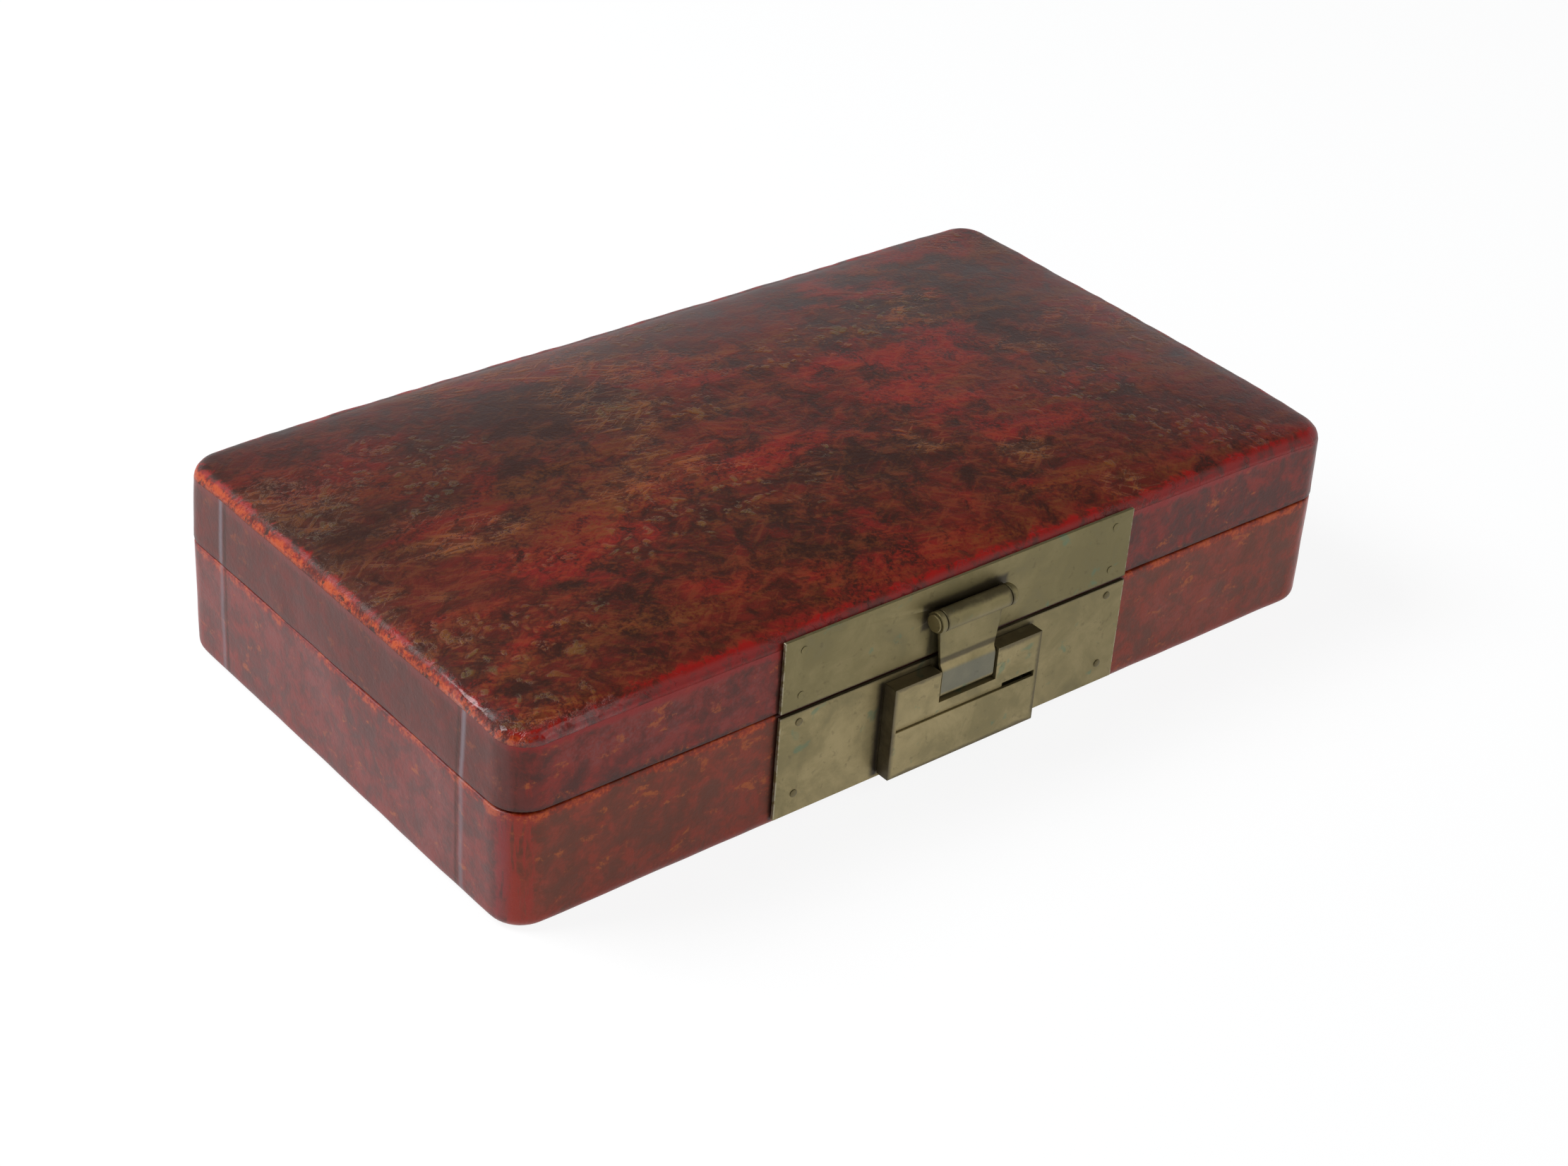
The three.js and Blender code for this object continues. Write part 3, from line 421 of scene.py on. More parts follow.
def top_lacquer(sizes, colours):
    """The lid's top: brown red lacquer, crimson patches, worn gilt strokes and sprigs, and a worn rim."""
    s = material("top_lacquer")
    place = s.place()
    x, y, _ = s.axes(place)
    clouds = s.noise(place, 15, 4, 0.6)
    patches = s.noise(s.warped(place, (0.6, 1, 1), shift=(0.2, 0.5, 0)), 36, 5, 0.62, 0.3)
    mottle = s.noise(place, 150, 6, 0.72, 0.5)
    grain = s.noise(place, 1100, 3, 0.65)
    blots = s.noise(s.warped(place, (0.7, 1, 1), shift=(0.6, 0.1, 0)), 210, 5, 0.65, 0.5)
    speckle = mottle * 0.55 + grain * 0.45
    shade = s.mix(s.step(mottle * 0.55 + clouds * 0.45, 0.4, 0.6), colours.top_dark, colours.top_ground)
    crimson = s.step(patches, 0.5, 0.6) * s.step(speckle, 0.36, 0.54)
    shade = s.mix(crimson * 0.6, shade, colours.top_red)
    bands = s.noise(s.warped(place, (0.2, 1.3, 1), turn=4, shift=(0.1, 0.3, 0)), 62, 5, 0.66, 0.3)
    shade = s.mix(s.step(bands, 0.5, 0.64) * s.step(speckle, 0.42, 0.56) * 0.75, shade, colours.umber)
    shade = s.mix((1 - s.step(bands, 0.36, 0.44)) * 0.4, shade, colours.top_dark)
    gilt = s.mix(s.step(mottle, 0.44, 0.58), colours.ochre, colours.tan)
    gilt = s.mix(s.step(patches, 0.46, 0.54) * 0.3, gilt, colours.worn_orange)
    area = s.noise(s.warped(place, (0.8, 1.1, 1), shift=(0.35, 0.12, 0)), 19, 3, 0.55, 0.2)
    dense = s.step(area, 0.54, 0.64)
    strokes = hatching(s, place) * s.step(speckle, 0.42, 0.54)
    shade = s.mix(dense * s.step(blots, 0.44, 0.56) * 0.5, shade, colours.umber)
    shade = s.mix(strokes * (0.16 + dense * 0.5), shade, gilt)
    cells = s.node("TexVoronoi", {}, {"Vector": bent(s, place, 120, 0.016), "Scale": 230}, "Distance")
    sprigs = s.step(s.noise(s.warped(place, (0.9, 1.2, 1), shift=(0.8, 0.45, 0)), 24, 2, 0.5), 0.53, 0.6)
    leaves = (1 - s.step(cells, 0.22, 0.42)) * sprigs * s.step(speckle, 0.42, 0.54)
    shade = s.mix(leaves * 0.5, shade, s.mix(s.step(clouds, 0.42, 0.58), colours.olive, colours.ochre))
    shade = s.mix(s.thread(cells, 0.5, 0.12) * sprigs * 0.4, shade, colours.top_dark)
    shade = s.mix(s.step(blots, 0.58, 0.66) * 0.55, shade, colours.top_dark)
    shade = s.mix((1 - s.step(speckle, 0.34, 0.44)) * 0.5, shade, colours.top_dark)
    darker = s.larger(s.step(y - x * 0.35, 0.0, 0.06), s.step(x, 0.05, 0.11) * 0.7)
    shade = s.mix(darker * 0.44, shade, colours.top_dark)
    ragged = (mottle - 0.5) * 0.006 + (grain - 0.5) * 0.002
    edge, _ = plan_distances(s, x, y, sizes)
    rim = s.step(edge + ragged * 1.4, -0.0038, -0.0018)
    chips = s.step(s.noise(place, 230, 5, 0.65, 0.3), 0.57, 0.64)
    left = s.step(0 - x, HALF_LENGTH - 0.008, HALF_LENGTH - 0.003)
    rim_shade = s.mix(s.step(mottle, 0.4, 0.58), colours.top_ground, colours.worn_red)
    worn = s.step(edge + ragged * 0.4, -0.0022, -0.0012)
    rim_shade = s.mix(worn * left * s.step(speckle, 0.42, 0.56) * 0.8, rim_shade, colours.worn_orange)
    rim_shade = s.mix(chips * (0.35 + left * 0.5), rim_shade, colours.top_dark)
    shade = s.mix(rim * 0.9, shade, rim_shade)
    near_x, near_y = x + HALF_LENGTH, y + HALF_WIDTH
    near = 1 - s.step((near_x * near_x + near_y * near_y), 0.0002, 0.0014)
    drops = s.step(s.noise(s.warped(place, (1, 1, 1), shift=(0.4, 0.9, 0.2)), 210, 2, 0.5), 0.38, 0.62)
    height = mottle * 0.5 + grain * 0.2 + strokes * dense * 0.35 + leaves * 0.3 + patches * 0.6
    height = height - chips * rim * 0.3 + drops * near * rim * 3
    sockets = {
        "Base Color": shade,
        "Roughness": 0.32 + mottle * 0.2 - near * rim * 0.16,
        "Specular IOR Level": 0.28,
        "Normal": s.bump(height, 0.0004, 0.7),
        "Coat Weight": near * rim * 0.6,
        "Coat Roughness": 0.12,
    }
    return s.finish(s.principled(sockets))


def aged_brass(name, sizes, colours, tone=0.0):
    """Dull olive brass, stained and pitted, soiled and with painted shade round the lock and the hasp, a
    painted shadow round the roll, painted shade towards the right and a painted reflection on the hasp's
    tip.
    """
    s = material(name)
    place = s.place()
    x, y, z = s.axes(place)
    stains = s.noise(place, 80, 5, 0.68, 0.5)
    cloud = s.noise(place, 24, 3, 0.5)
    grain = s.noise(place, 1500, 3, 0.65)
    pits = s.noise(place, 480, 4, 0.6, 0.3)
    spots = s.noise(s.warped(place, (1, 1, 1), shift=(0.5, 0.2, 0.8)), 170, 3, 0.5, 0.4)
    in_front = front_mask(s, y)
    ragged = (stains - 0.5) * 0.004 + (pits - 0.5) * 0.0012
    shade = s.mix(s.step(stains * 0.6 + cloud * 0.4, 0.38, 0.62) * 0.7, colours.brass, colours.brass_dark)
    # Darker on the upper plates, and painted shade towards the right of the clasp.
    upper = s.step(z, SEAM_Z - MM, SEAM_Z + MM) * in_front
    rightward = s.step(x, CLASP_X, CLASP_X + 0.05) * in_front
    shade = s.mix(upper * 0.5 + rightward * 0.4, shade, colours.brass_dark)
    # Painted reflection: the hasp below the lock's top, in front, tinted bluish grey as if it reflected the
    # room above.
    half_tip = sizes.strap_tip / 2
    tip = s.step(LOCK_HIGH.z - z, 0.0, MM) * s.step(z, HASP_LOW.z + MM, HASP_LOW.z + 2 * MM)
    tip = tip * (1 - s.step(abs(x - CLASP_X), half_tip - 0.25 * MM, half_tip + 0.15 * MM))
    tip = tip * (1 - s.step(y, LOCK_LOW.y + 1.2 * MM, LOCK_LOW.y + 1.6 * MM))
    shade = s.mix(tip * 0.7, shade, colours.tip_reflection_grey)
    shade = s.mix(s.step(spots, 0.64, 0.72) * 0.45, shade, colours.verdigris)
    shade = s.mix(s.step(pits, 0.6, 0.7) * 0.22, shade, colours.grime_and_shade)
    shade = s.mix(tone, shade, colours.grime_and_shade)
    # Soiling and painted shade round the lock and the hasp, a painted shadow on and beside the lock's left
    # wall and round the roll, and a dark joint between the plates.
    lock = panel_distance(s, x, z, LOCK_LOW, LOCK_HIGH)
    roll_low = Vector((PIN_LOW.x, 0, PIN_Z - ROLL_RADIUS))
    roll = panel_distance(s, x, z, roll_low, Vector((PIN_HIGH.x, 0, PIN_Z + ROLL_RADIUS)))
    on_plate = s.step(y, PLATE_Y - 0.8 * MM, PLATE_Y - 0.4 * MM)
    hasp = panel_distance(s, x, z, HASP_LOW, HASP_HIGH)
    dirt_and_shade = 1 - s.step(abs(s.smaller(lock, hasp)) + ragged, 0.0002, 0.0014)
    lock_wall_shadow = s.thread(x + ragged * 0.4, LOCK_LOW.x - 0.0006, 0.0022)
    lock_wall_shadow = lock_wall_shadow * s.step(LOCK_HIGH.z - z, -MM, 0.0) * s.step(z, LOCK_LOW.z - MM, LOCK_LOW.z)
    shadow = (1 - s.step(roll + ragged * 0.5, 0.0002, 0.0016)) * on_plate
    seam = 1 - s.step(abs(z - SEAM_Z) + ragged * 0.3, 0.0004, 0.0012)
    dark = s.larger(s.larger(dirt_and_shade * 0.6, lock_wall_shadow), s.larger(shadow * 0.85, seam * 0.7)) * in_front
    shade = s.mix(dark, shade, colours.grime_and_shade)
    half_plate = (UPPER_HIGH.x - UPPER_LOW.x) / 2
    rubbed = s.step(abs(x - CLASP_X), half_plate - 0.5 * MM, half_plate)
    shade = s.mix(rubbed * in_front * s.step(pits, 0.42, 0.54) * 0.5, shade, colours.brass_bright)
    sockets = {
        "Base Color": shade,
        "Metallic": 0.8 - s.step(stains, 0.5, 0.75) * 0.3 - dark * 0.3,
        "Roughness": 0.36 + stains * 0.24,
        "Normal": s.bump(stains * 0.4 + grain * 0.1 + pits * 0.08 + cloud * 1.4, 0.0004, 0.6),
    }
    return s.finish(s.principled(sockets))


def bare_wood(colours):
    """Plain wood with grain along the box, lacquered where its edge shows at the seam."""
    s = material("core_wood")
    place = s.place()
    rings = s.noise(s.warped(place, (0.12, 1, 1)), 160, 4, 0.6, 0.6)
    pores = s.noise(s.warped(place, (0.04, 1, 1)), 1500, 2, 0.6)
    shade = s.mix(s.step(rings, 0.35, 0.65), colours.wood, colours.wood_dark)
    shade = s.mix(s.step(pores, 0.6, 0.72) * 0.6, shade, colours.wood_dark)
    seam = 1 - s.step(abs(s.axes(place)[2] - SEAM_Z), 0.5 * MM, 0.9 * MM)
    shade = s.mix(seam * 0.9, shade, colours.inside)
    roughness = 0.62 + pores * 0.2 - seam * 0.2
    sockets = {"Base Color": shade, "Roughness": roughness, "Normal": s.bump(pores, 0.0002, 0.7)}
    return s.finish(s.principled(sockets))


def inner_lacquer(colours):
    """Thin dark lacquer, rubbed along its edges."""
    s = material("inner_lacquer")
    place = s.place()
    mottle = s.noise(place, 180, 4, 0.6, 0.4)
    shade = s.mix(s.step(mottle, 0.52, 0.72) * 0.5, colours.inside, colours.side_ground)
    sockets = {"Base Color": shade, "Roughness": 0.35 + mottle * 0.25, "Normal": s.bump(mottle, 0.0002, 0.6)}
    return s.finish(s.principled(sockets))


def paper_lining(colours):
    """Soft, faded paper with long fibres and brown age spots."""
    s = material("paper_lining")
    place = s.place()
    fibres = s.noise(s.warped(place, (1, 0.3, 1)), 900, 3, 0.6, 0.6)
    cloud = s.noise(place, 26, 4, 0.6)
    spots = s.noise(place, 140, 3, 0.5)
    shade = s.mix(s.step(cloud, 0.3, 0.7) * 0.5, colours.lining, colours.wood_dark)
    shade = s.mix(s.step(spots, 0.66, 0.74) * 0.6, shade, colours.wood_dark)
    sockets = {"Base Color": shade, "Roughness": 0.85 + fibres * 0.1, "Normal": s.bump(fibres, 0.0002, 0.6)}
    return s.finish(s.principled(sockets))


def made_once(name, maker, *given):
    """A material by name, made when it is first asked for."""
    return bpy.data.materials.get(name) or maker(*given)


def side_finish(scene):
    return made_once("side_lacquer", side_lacquer, scene.box_sizes, scene.box_colours)


def brass_finish(scene):
    return made_once("olive_brass", aged_brass, "olive_brass", scene.box_sizes, scene.box_colours)


def smooth_piece(bm, name, body, finish, replaced, sharp_degrees):
    """Turns a bmesh into a finished piece that rides on its body and stands for its nodes."""
    mesh = bpy.data.meshes.new(name)
    bm.to_mesh(mesh)
    bm.free()
    mesh.shade_smooth()
    mesh.set_sharp_from_angle(angle=math.radians(sharp_degrees))
    mesh.materials.append(finish)
    piece = bpy.data.objects.new(name, mesh)
    bpy.context.scene.collection.objects.link(piece)
    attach(piece, body)
    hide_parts(*replaced)
    return piece


def rounded(piece, width, limit="ANGLE", degrees=40):
    """A Bevel modifier on the piece's sharp edges, or on those that have a weight. Returns the piece."""
    bevel = piece.modifiers.new("rounded edges", "BEVEL")
    bevel.width = width
    bevel.segments = 2
    bevel.limit_method = limit
    bevel.angle_limit = math.radians(degrees)
    bevel.harden_normals = True
    return piece


def cad_node(name, finish, edge):
    """A frame part that shows as it is, with a finish and softened edges."""
    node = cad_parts[name]
    node.data.materials.clear()
    node.data.materials.append(finish)
    weld = node.modifiers.new("welded", "WELD")
    weld.merge_threshold = SAME_POINT
    rounded(node, edge)


def pushed(bm, ring, shift, steps):
    """Extrudes a ring or line of edges along a straight line and returns its last place."""
    for _ in range(steps):
        made = bmesh.ops.extrude_edge_only(bm, edges=ring)["geom"]
        moved = [item for item in made if isinstance(item, bmesh.types.BMVert)]
        bmesh.ops.translate(bm, verts=moved, vec=Vector(shift) / steps)
        edges = [item for item in made if isinstance(item, bmesh.types.BMEdge)]
        ring = [edge for edge in edges if set(edge.verts) <= set(moved)]
    return ring


def turned(bm, ring, centre, degrees, steps, axis=(0, 0, 1)):
    """Spins a ring or line of edges about an axis and returns its last place."""
    geometry = list({vert for edge in ring for vert in edge.verts}) + ring
    angle = math.radians(degrees)
    made = bmesh.ops.spin(bm, geom=geometry, cent=centre, axis=axis, angle=angle, steps=steps)
    return [item for item in made["geom_last"] if isinstance(item, bmesh.types.BMEdge)]


def section_face(bm, corners, roundings, start_y, cell):
    """The cut through a leather strip at the left end: corners as inset and height, some of them rounded."""
    verts = [bm.verts.new((inset - HALF_LENGTH, start_y, height)) for inset, height in corners]
    bm.faces.new(verts)
    for index, radius, segments in roundings:
        bmesh.ops.bevel(
            bm, geom=[verts[index]], offset=radius, offset_type="OFFSET", segments=segments, profile=0.5,
            affect="VERTICES", material=-1,
        )
    for edge in [e for e in bm.edges if e.calc_length() > 2 * cell]:
        bmesh.ops.subdivide_edges(bm, edges=[edge], cuts=int(edge.calc_length() / (1.5 * cell)))
    return bm.edges[:]


def base_section(sizes):
    """The base's leather: under the foot, up the side and rounded over the seam edge."""
    low, high, thick, fold = BASE_LOW.z, BASE_HIGH.z + SEAM_PROUD, sizes.leather, sizes.turn_in
    corners = [(fold, low), (0, low), (0, high), (thick, high), (thick, low + thick), (fold, low + thick)]
    roundings = [(1, sizes.foot_radius, 8), (2, sizes.seam_radius, 4), (4, sizes.foot_radius - thick, 6)]
    return corners, roundings


def lid_section(sizes):
    """The lid's side leather: from the rim down to the rounded seam edge."""
    low, high, thick = LID_LOW.z - SEAM_PROUD, RIM_Z - LEATHER_JOINT, sizes.leather
    corners = [(0, high), (thick, high), (thick, low), (0, low)]
    roundings = [(3, sizes.seam_radius, 4)]
    return corners, roundings


def plan_edge(place, radius):
    """How far a point lies outside the box's plan, less than 0 inside it, and the level way straight out."""
    across = abs(place.x) - (HALF_LENGTH - radius)
    along = abs(place.y) - (HALF_WIDTH - radius)
    if across > 0 and along > 0:
        out = Vector((across, along, 0))
    elif across > along:
        out = Vector((across, 0, 0))
    else:
        out = Vector((0, along, 0))
    distance = max(across, along) if max(across, along) < 0 else out.length
    way = Vector((math.copysign(abs(out.x), place.x), math.copysign(abs(out.y), place.y), 0)).normalized()
    return distance - radius, way


def hand_laid(bm, half, sizes):
    """Gives leather its shallow waves, inwards only, and lets a lid lean in and hang low at its corners."""
    seed = Vector((3, 0, 0)) if half == "base" else Vector((8, 0, 0))
    for vert in bm.verts:
        edge, way = plan_edge(vert.co, sizes.corner_radius)
        wave = noise.noise(vert.co * 40 + seed) + 0.5 * noise.noise(vert.co * 130 + seed)
        depth = sizes.unevenness * max(0.0, 0.35 + 0.6 * wave)
        vert.co -= way * depth * share(1 + edge / (6 * MM))
        if half == "lid":
            height = share((vert.co.z - LID_LOW.z) / (RIM_Z - LID_LOW.z))
            for side_x, side_y, fall, power_x, power_y in CORNER_FALLS:
                near_x = max(0.0, side_x * vert.co.x / HALF_LENGTH) ** power_x
                near_y = max(0.0, side_y * vert.co.y / HALF_WIDTH) ** power_y
                vert.co.z -= fall * near_x * near_y * height
            vert.co.x *= 1 - sizes.lean / HALF_LENGTH * height


def leather_strip(scene, half, side, section):
    """One strip of side leather. Front and back wrap the corners, and the ends butt to them."""
    sizes = scene.box_sizes
    radius, cell = sizes.corner_radius, sizes.cell
    corners, roundings = section
    bm = bmesh.new()
    if side in ("front", "back"):
        ring = section_face(bm, corners, roundings, -WRAP_Y, cell)
        short = HALF_WIDTH - radius - WRAP_Y
        long = 2 * (HALF_LENGTH - radius)
        ring = pushed(bm, ring, (0, -short, 0), round(short / cell))
        ring = turned(bm, ring, (radius - HALF_LENGTH, radius - HALF_WIDTH, 0), 90, 10)
        ring = pushed(bm, ring, (long, 0, 0), round(long / cell / 1.4))
        ring = turned(bm, ring, (HALF_LENGTH - radius, radius - HALF_WIDTH, 0), 90, 10)
        ring = pushed(bm, ring, (0, short, 0), round(short / cell))
    else:
        reach = WRAP_Y - LEATHER_JOINT
        ring = section_face(bm, corners, roundings, reach, cell)
        ring = pushed(bm, ring, (0, -2 * reach, 0), round(2 * reach / cell / 1.4))
    bmesh.ops.contextual_create(bm, geom=ring)
    if side in ("back", "right"):
        bmesh.ops.rotate(bm, verts=bm.verts, cent=(0, 0, 0), matrix=Matrix.Rotation(math.pi, 3, "Z"))
    bmesh.ops.recalc_face_normals(bm, faces=bm.faces)
    hand_laid(bm, half, sizes)
    name = half + "_" + side + "_leather"
    node = half + "_" + side + "_skin"
    return smooth_piece(bm, name, half, side_finish(scene), [node], 50)


def rim_lumps(place, sizes):
    """How far the lacquer dips along the rim. Round the front left corner it lies in thick drops."""
    corner = Vector((-HALF_LENGTH, -HALF_WIDTH, place.z))
    near = max(0.0, 1 - (place - corner).length / DROPS_REACH)
    drops = max(0.0, 0.5 + noise.noise(place * 170) + 0.4 * noise.noise(place * 420))
    return sizes.lumps * (0.18 + 0.82 * near) * max(0.0, 1 - drops)


def domed_leather(scene):
    """The lid's top leather: one sheet drawn over the dome and down round the rim."""
    sizes = scene.box_sizes
    rim, radius = sizes.rim_radius, sizes.corner_radius
    flat = radius - rim
    reach = flat + rim * math.pi / 2
    half_x = HALF_LENGTH - radius + reach
    half_y = HALF_WIDTH - radius + reach
    bm = bmesh.new()
    columns, rows = round(2 * half_x / sizes.cell), round(2 * half_y / sizes.cell)
    bmesh.ops.create_grid(bm, x_segments=columns, y_segments=rows, size=1)
    bmesh.ops.scale(bm, verts=bm.verts, vec=(half_x, half_y, 1))
    rim_top = TOP_HIGH.z - sizes.crown
    for vert in bm.verts:
        across = abs(vert.co.x) - (HALF_LENGTH - radius)
        along = abs(vert.co.y) - (HALF_WIDTH - radius)
        out = max(across, along)
        heading = math.pi / 4
        if across > 0 and along > 0:
            heading = math.pi / 4 * (along / across if across >= along else 2 - across / along)
        bend = max(0.0, out - flat) / rim
        spread = out if out <= flat else flat + rim * math.sin(bend)
        if across > 0 and along > 0:
            across, along = spread * math.cos(heading), spread * math.sin(heading)
        elif across > along:
            across = spread
        else:
            along = spread
        x = math.copysign(across + HALF_LENGTH - radius, vert.co.x)
        y = math.copysign(along + HALF_WIDTH - radius, vert.co.y)
        u = min(1.0, abs(x) / (HALF_LENGTH - rim))
        v = min(1.0, abs(y) / (HALF_WIDTH - rim))
        dome = sizes.crown * ((1 - u**2.4) * (1 - v**2.4)) ** 0.8
        vert.co = (x, y, rim_top - rim * (1 - math.cos(bend)) + dome)
    bm.normal_update()
    moves = []
    for vert in bm.verts:
        edge, _ = plan_edge(vert.co, radius)
        band = share(2 + edge / (3 * MM)) * share((vert.co.z - RIM_Z) / MM)
        wave = noise.noise(vert.co * 30) + 0.5 * noise.noise(vert.co * 110)
        above = share((vert.co.z - RIM_Z) / (3 * MM))
        sunk = 0.35 * above * sizes.unevenness * (1 - wave) + band * rim_lumps(vert.co, sizes)
        moves.append(vert.normal * -sunk)
    for vert, move in zip(bm.verts, moves):
        vert.co += move
    hand_laid(bm, "lid", sizes)
    finish = made_once("top_lacquer", top_lacquer, sizes, scene.box_colours)
    piece = smooth_piece(bm, "lid_top_leather", "lid", finish, ["lid_top_skin"], 60)
    sheet = piece.modifiers.new("thickness", "SOLIDIFY")
    sheet.thickness = sizes.leather
    sheet.offset = -1
    return piece


def copied(node, scene, name, body, width=None):
    """A brass part as its frame part, with its flat faces joined up and its edges rounded."""
    bm = bmesh.new()
    bm.from_mesh(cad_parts[node].data)
    bmesh.ops.remove_doubles(bm, verts=bm.verts, dist=SAME_POINT)
    bmesh.ops.dissolve_limit(bm, angle_limit=math.radians(0.5), verts=bm.verts, edges=bm.edges)
    weight = bm.edges.layers.float.new("bevel_weight_edge")
    for edge in bm.edges:
        edge[weight] = float(edge.is_convex and edge.calc_face_angle() > math.radians(30))
    piece = smooth_piece(bm, name, body, brass_finish(scene), [node], 30)
    return rounded(piece, width or scene.box_sizes.brass_edge, "WEIGHT")


def rolled_strap(scene):
    """The hasp: a sheet rolled round the pin, down, bent forwards a little, and curled into an eye."""
    sizes = scene.box_sizes
    half = sizes.strap / 2
    half_width = (HASP_HIGH.x - HASP_LOW.x) / 2
    roll = PIN_Y - HASP_LOW.y - half
    front = sizes.strap_front - half
    eye = sizes.eye_radius - half
    eye_z = HASP_LOW.z + sizes.eye_radius
    tip_y = LOCK_LOW.y + sizes.strap_recess + half
    front_y = -HALF_WIDTH - front
    wrap, leaving, bending = 250, 72, 40
    start = math.radians(wrap)
    along = (1, 0, 0)
    bm = bmesh.new()
    first_y, first_z = PIN_Y - roll * math.cos(start), PIN_Z + roll * math.sin(start)
    sides = (CLASP_X - half_width, CLASP_X + half_width)
    verts = [bmesh.ops.create_vert(bm, co=(x, first_y, first_z))["vert"][0] for x in sides]
    line = [bm.edges.new(verts)]
    line = turned(bm, line, (0, PIN_Y, PIN_Z), wrap + leaving, 40, along)
    out = PIN_Y - roll * math.cos(math.radians(leaving))
    curve = (front_y - out) / (1 - math.cos(math.radians(leaving)))
    low = PIN_Z - roll * math.sin(math.radians(leaving)) - curve * math.sin(math.radians(leaving))
    line = turned(bm, line, (0, front_y - curve, low), -leaving, 8, along)
    bend = (front_y - tip_y) / 2 / (1 - math.cos(math.radians(bending)))
    drop = bend * math.sin(math.radians(bending))
    line = pushed(bm, line, (0, 0, LOCK_HIGH.z + drop - low), 8)
    line = turned(bm, line, (0, front_y - bend, LOCK_HIGH.z + drop), -bending, 6, along)
    line = turned(bm, line, (0, tip_y + bend, LOCK_HIGH.z - drop), bending, 6, along)
    line = pushed(bm, line, (0, 0, eye_z - LOCK_HIGH.z + drop), 5)
    turned(bm, line, (0, tip_y + eye, eye_z), wrap, 16, along)
    shoulder = PIN_Z - roll - half
    narrow = sizes.strap_tip / 2 / half_width
    for vert in bm.verts:
        down = share((shoulder - vert.co.z) / (shoulder - LOCK_HIGH.z))
        vert.co.x = CLASP_X + (vert.co.x - CLASP_X) * (1 + (narrow - 1) * down)
    bmesh.ops.recalc_face_normals(bm, faces=bm.faces)
    piece = smooth_piece(bm, "hasp_strap", "hasp", brass_finish(scene), ["hasp"], 50)
    sheet = piece.modifiers.new("thickness", "SOLIDIFY")
    sheet.thickness = sizes.strap
    sheet.offset = 0
    return rounded(piece, 0.15 * MM, degrees=50)


def nail_heads(group, body, rise, finish):
    """Four flat domed nail heads, one for each nail of a plate or a pair of hinge leaves."""
    bm = bmesh.new()
    nodes = ["%s_nail_%d" % (group, place) for place in range(1, 5)]
    for node in nodes:
        low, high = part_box(node)
        radius = (high.x - low.x) / 2
        outwards = -1 if low.y < 0 else 1
        seat = (low.y if outwards < 0 else high.y) - outwards * NAIL_SEAT
        made = bmesh.ops.create_uvsphere(bm, u_segments=20, v_segments=10, radius=radius)["verts"]
        bmesh.ops.scale(bm, verts=made, vec=(1, rise / radius, 1))
        bmesh.ops.translate(bm, verts=made, vec=((low.x + high.x) / 2, seat, (low.z + high.z) / 2))
    return smooth_piece(bm, group + "_nail_heads", body, finish, nodes, 70)


class LEATHERBOX_OT_base_leather(bpy.types.Operator):
    """Lay the leather round and under the base"""

    bl_idname = "leatherbox.base_leather"
    bl_label = "Base Leather"

    def execute(self, context):
        for side in ("front", "back", "left", "right"):
            leather_strip(context.scene, "base", side, base_section(context.scene.box_sizes))
        cad_node("base_bottom_skin", side_finish(context.scene), 0.3 * MM)
        return {"FINISHED"}


class LEATHERBOX_OT_lid_leather(bpy.types.Operator):
    """Lay the leather round and over the lid"""

    bl_idname = "leatherbox.lid_leather"
    bl_label = "Lid Leather"

    def execute(self, context):
        for side in ("front", "back", "left", "right"):
            leather_strip(context.scene, "lid", side, lid_section(context.scene.box_sizes))
        domed_leather(context.scene)
        return {"FINISHED"}


class LEATHERBOX_OT_carcass(bpy.types.Operator):
    """Finish the boards, the strips inside and the linings"""

    bl_idname = "leatherbox.carcass"
    bl_label = "Boards and Linings"

    def execute(self, context):
        colours = context.scene.box_colours
        wood = bare_wood(colours)
        strip = inner_lacquer(colours)
        paper = paper_lining(colours)
        for side in ("front", "back", "left", "right"):
            cad_node("base_%s_board" % side, wood, 0.3 * MM)
            cad_node("lid_%s_board" % side, wood, 0.3 * MM)
            cad_node("base_%s_lip" % side, strip, 0.4 * MM)
        cad_node("base_bottom_board", wood, 0.3 * MM)
        cad_node("lid_top_board", wood, 0.3 * MM)
        cad_node("base_lining", paper, 0.2 * MM)
        cad_node("lid_lining", paper, 0.2 * MM)
        return {"FINISHED"}


class LEATHERBOX_OT_clasp(bpy.types.Operator):
    """Make the clasp: plates, lock housing, bolt, hasp and its pin"""

    bl_idname = "leatherbox.clasp"
    bl_label = "Clasp"

    def execute(self, context):
        scene = context.scene
        copied("lower_plate", scene, "lower_clasp_plate", "base")
        copied("upper_plate", scene, "upper_clasp_plate", "lid")
        copied("lock_housing", scene, "lock_case", "base")
        copied("sliding_bolt", scene, "lock_bolt", "bolt", 0.1 * MM)
        rolled_strap(scene)
        copied("hasp_pin", scene, "hasp_pin_rod", "lid")
        return {"FINISHED"}


class LEATHERBOX_OT_hinges(bpy.types.Operator):
    """Make the two back hinges"""

    bl_idname = "leatherbox.hinges"
    bl_label = "Back Hinges"

    def execute(self, context):
        scene = context.scene
        for side in ("left", "right"):
            copied(side + "_hinge_base_leaf", scene, side + "_hinge_lower_leaf", "base")
            copied(side + "_hinge_lid_leaf", scene, side + "_hinge_upper_leaf", "lid")
            copied(side + "_hinge_pin", scene, side + "_hinge_rod", "base")
        return {"FINISHED"}


class LEATHERBOX_OT_nails(bpy.types.Operator):
    """Make the heads of the nails in the plates and the hinge leaves"""

    bl_idname = "leatherbox.nails"
    bl_label = "Nails"

    def execute(self, context):
        scene = context.scene
        plain = brass_finish(scene)
        dull = aged_brass("dull_brass", scene.box_sizes, scene.box_colours, 0.45)
        nail_heads("lower_plate", "base", 0.24 * MM, dull)
        nail_heads("upper_plate", "lid", 0.06 * MM, plain)
        nail_heads("base_leaf", "base", 0.3 * MM, dull)
        nail_heads("lid_leaf", "lid", 0.3 * MM, dull)
        return {"FINISHED"}


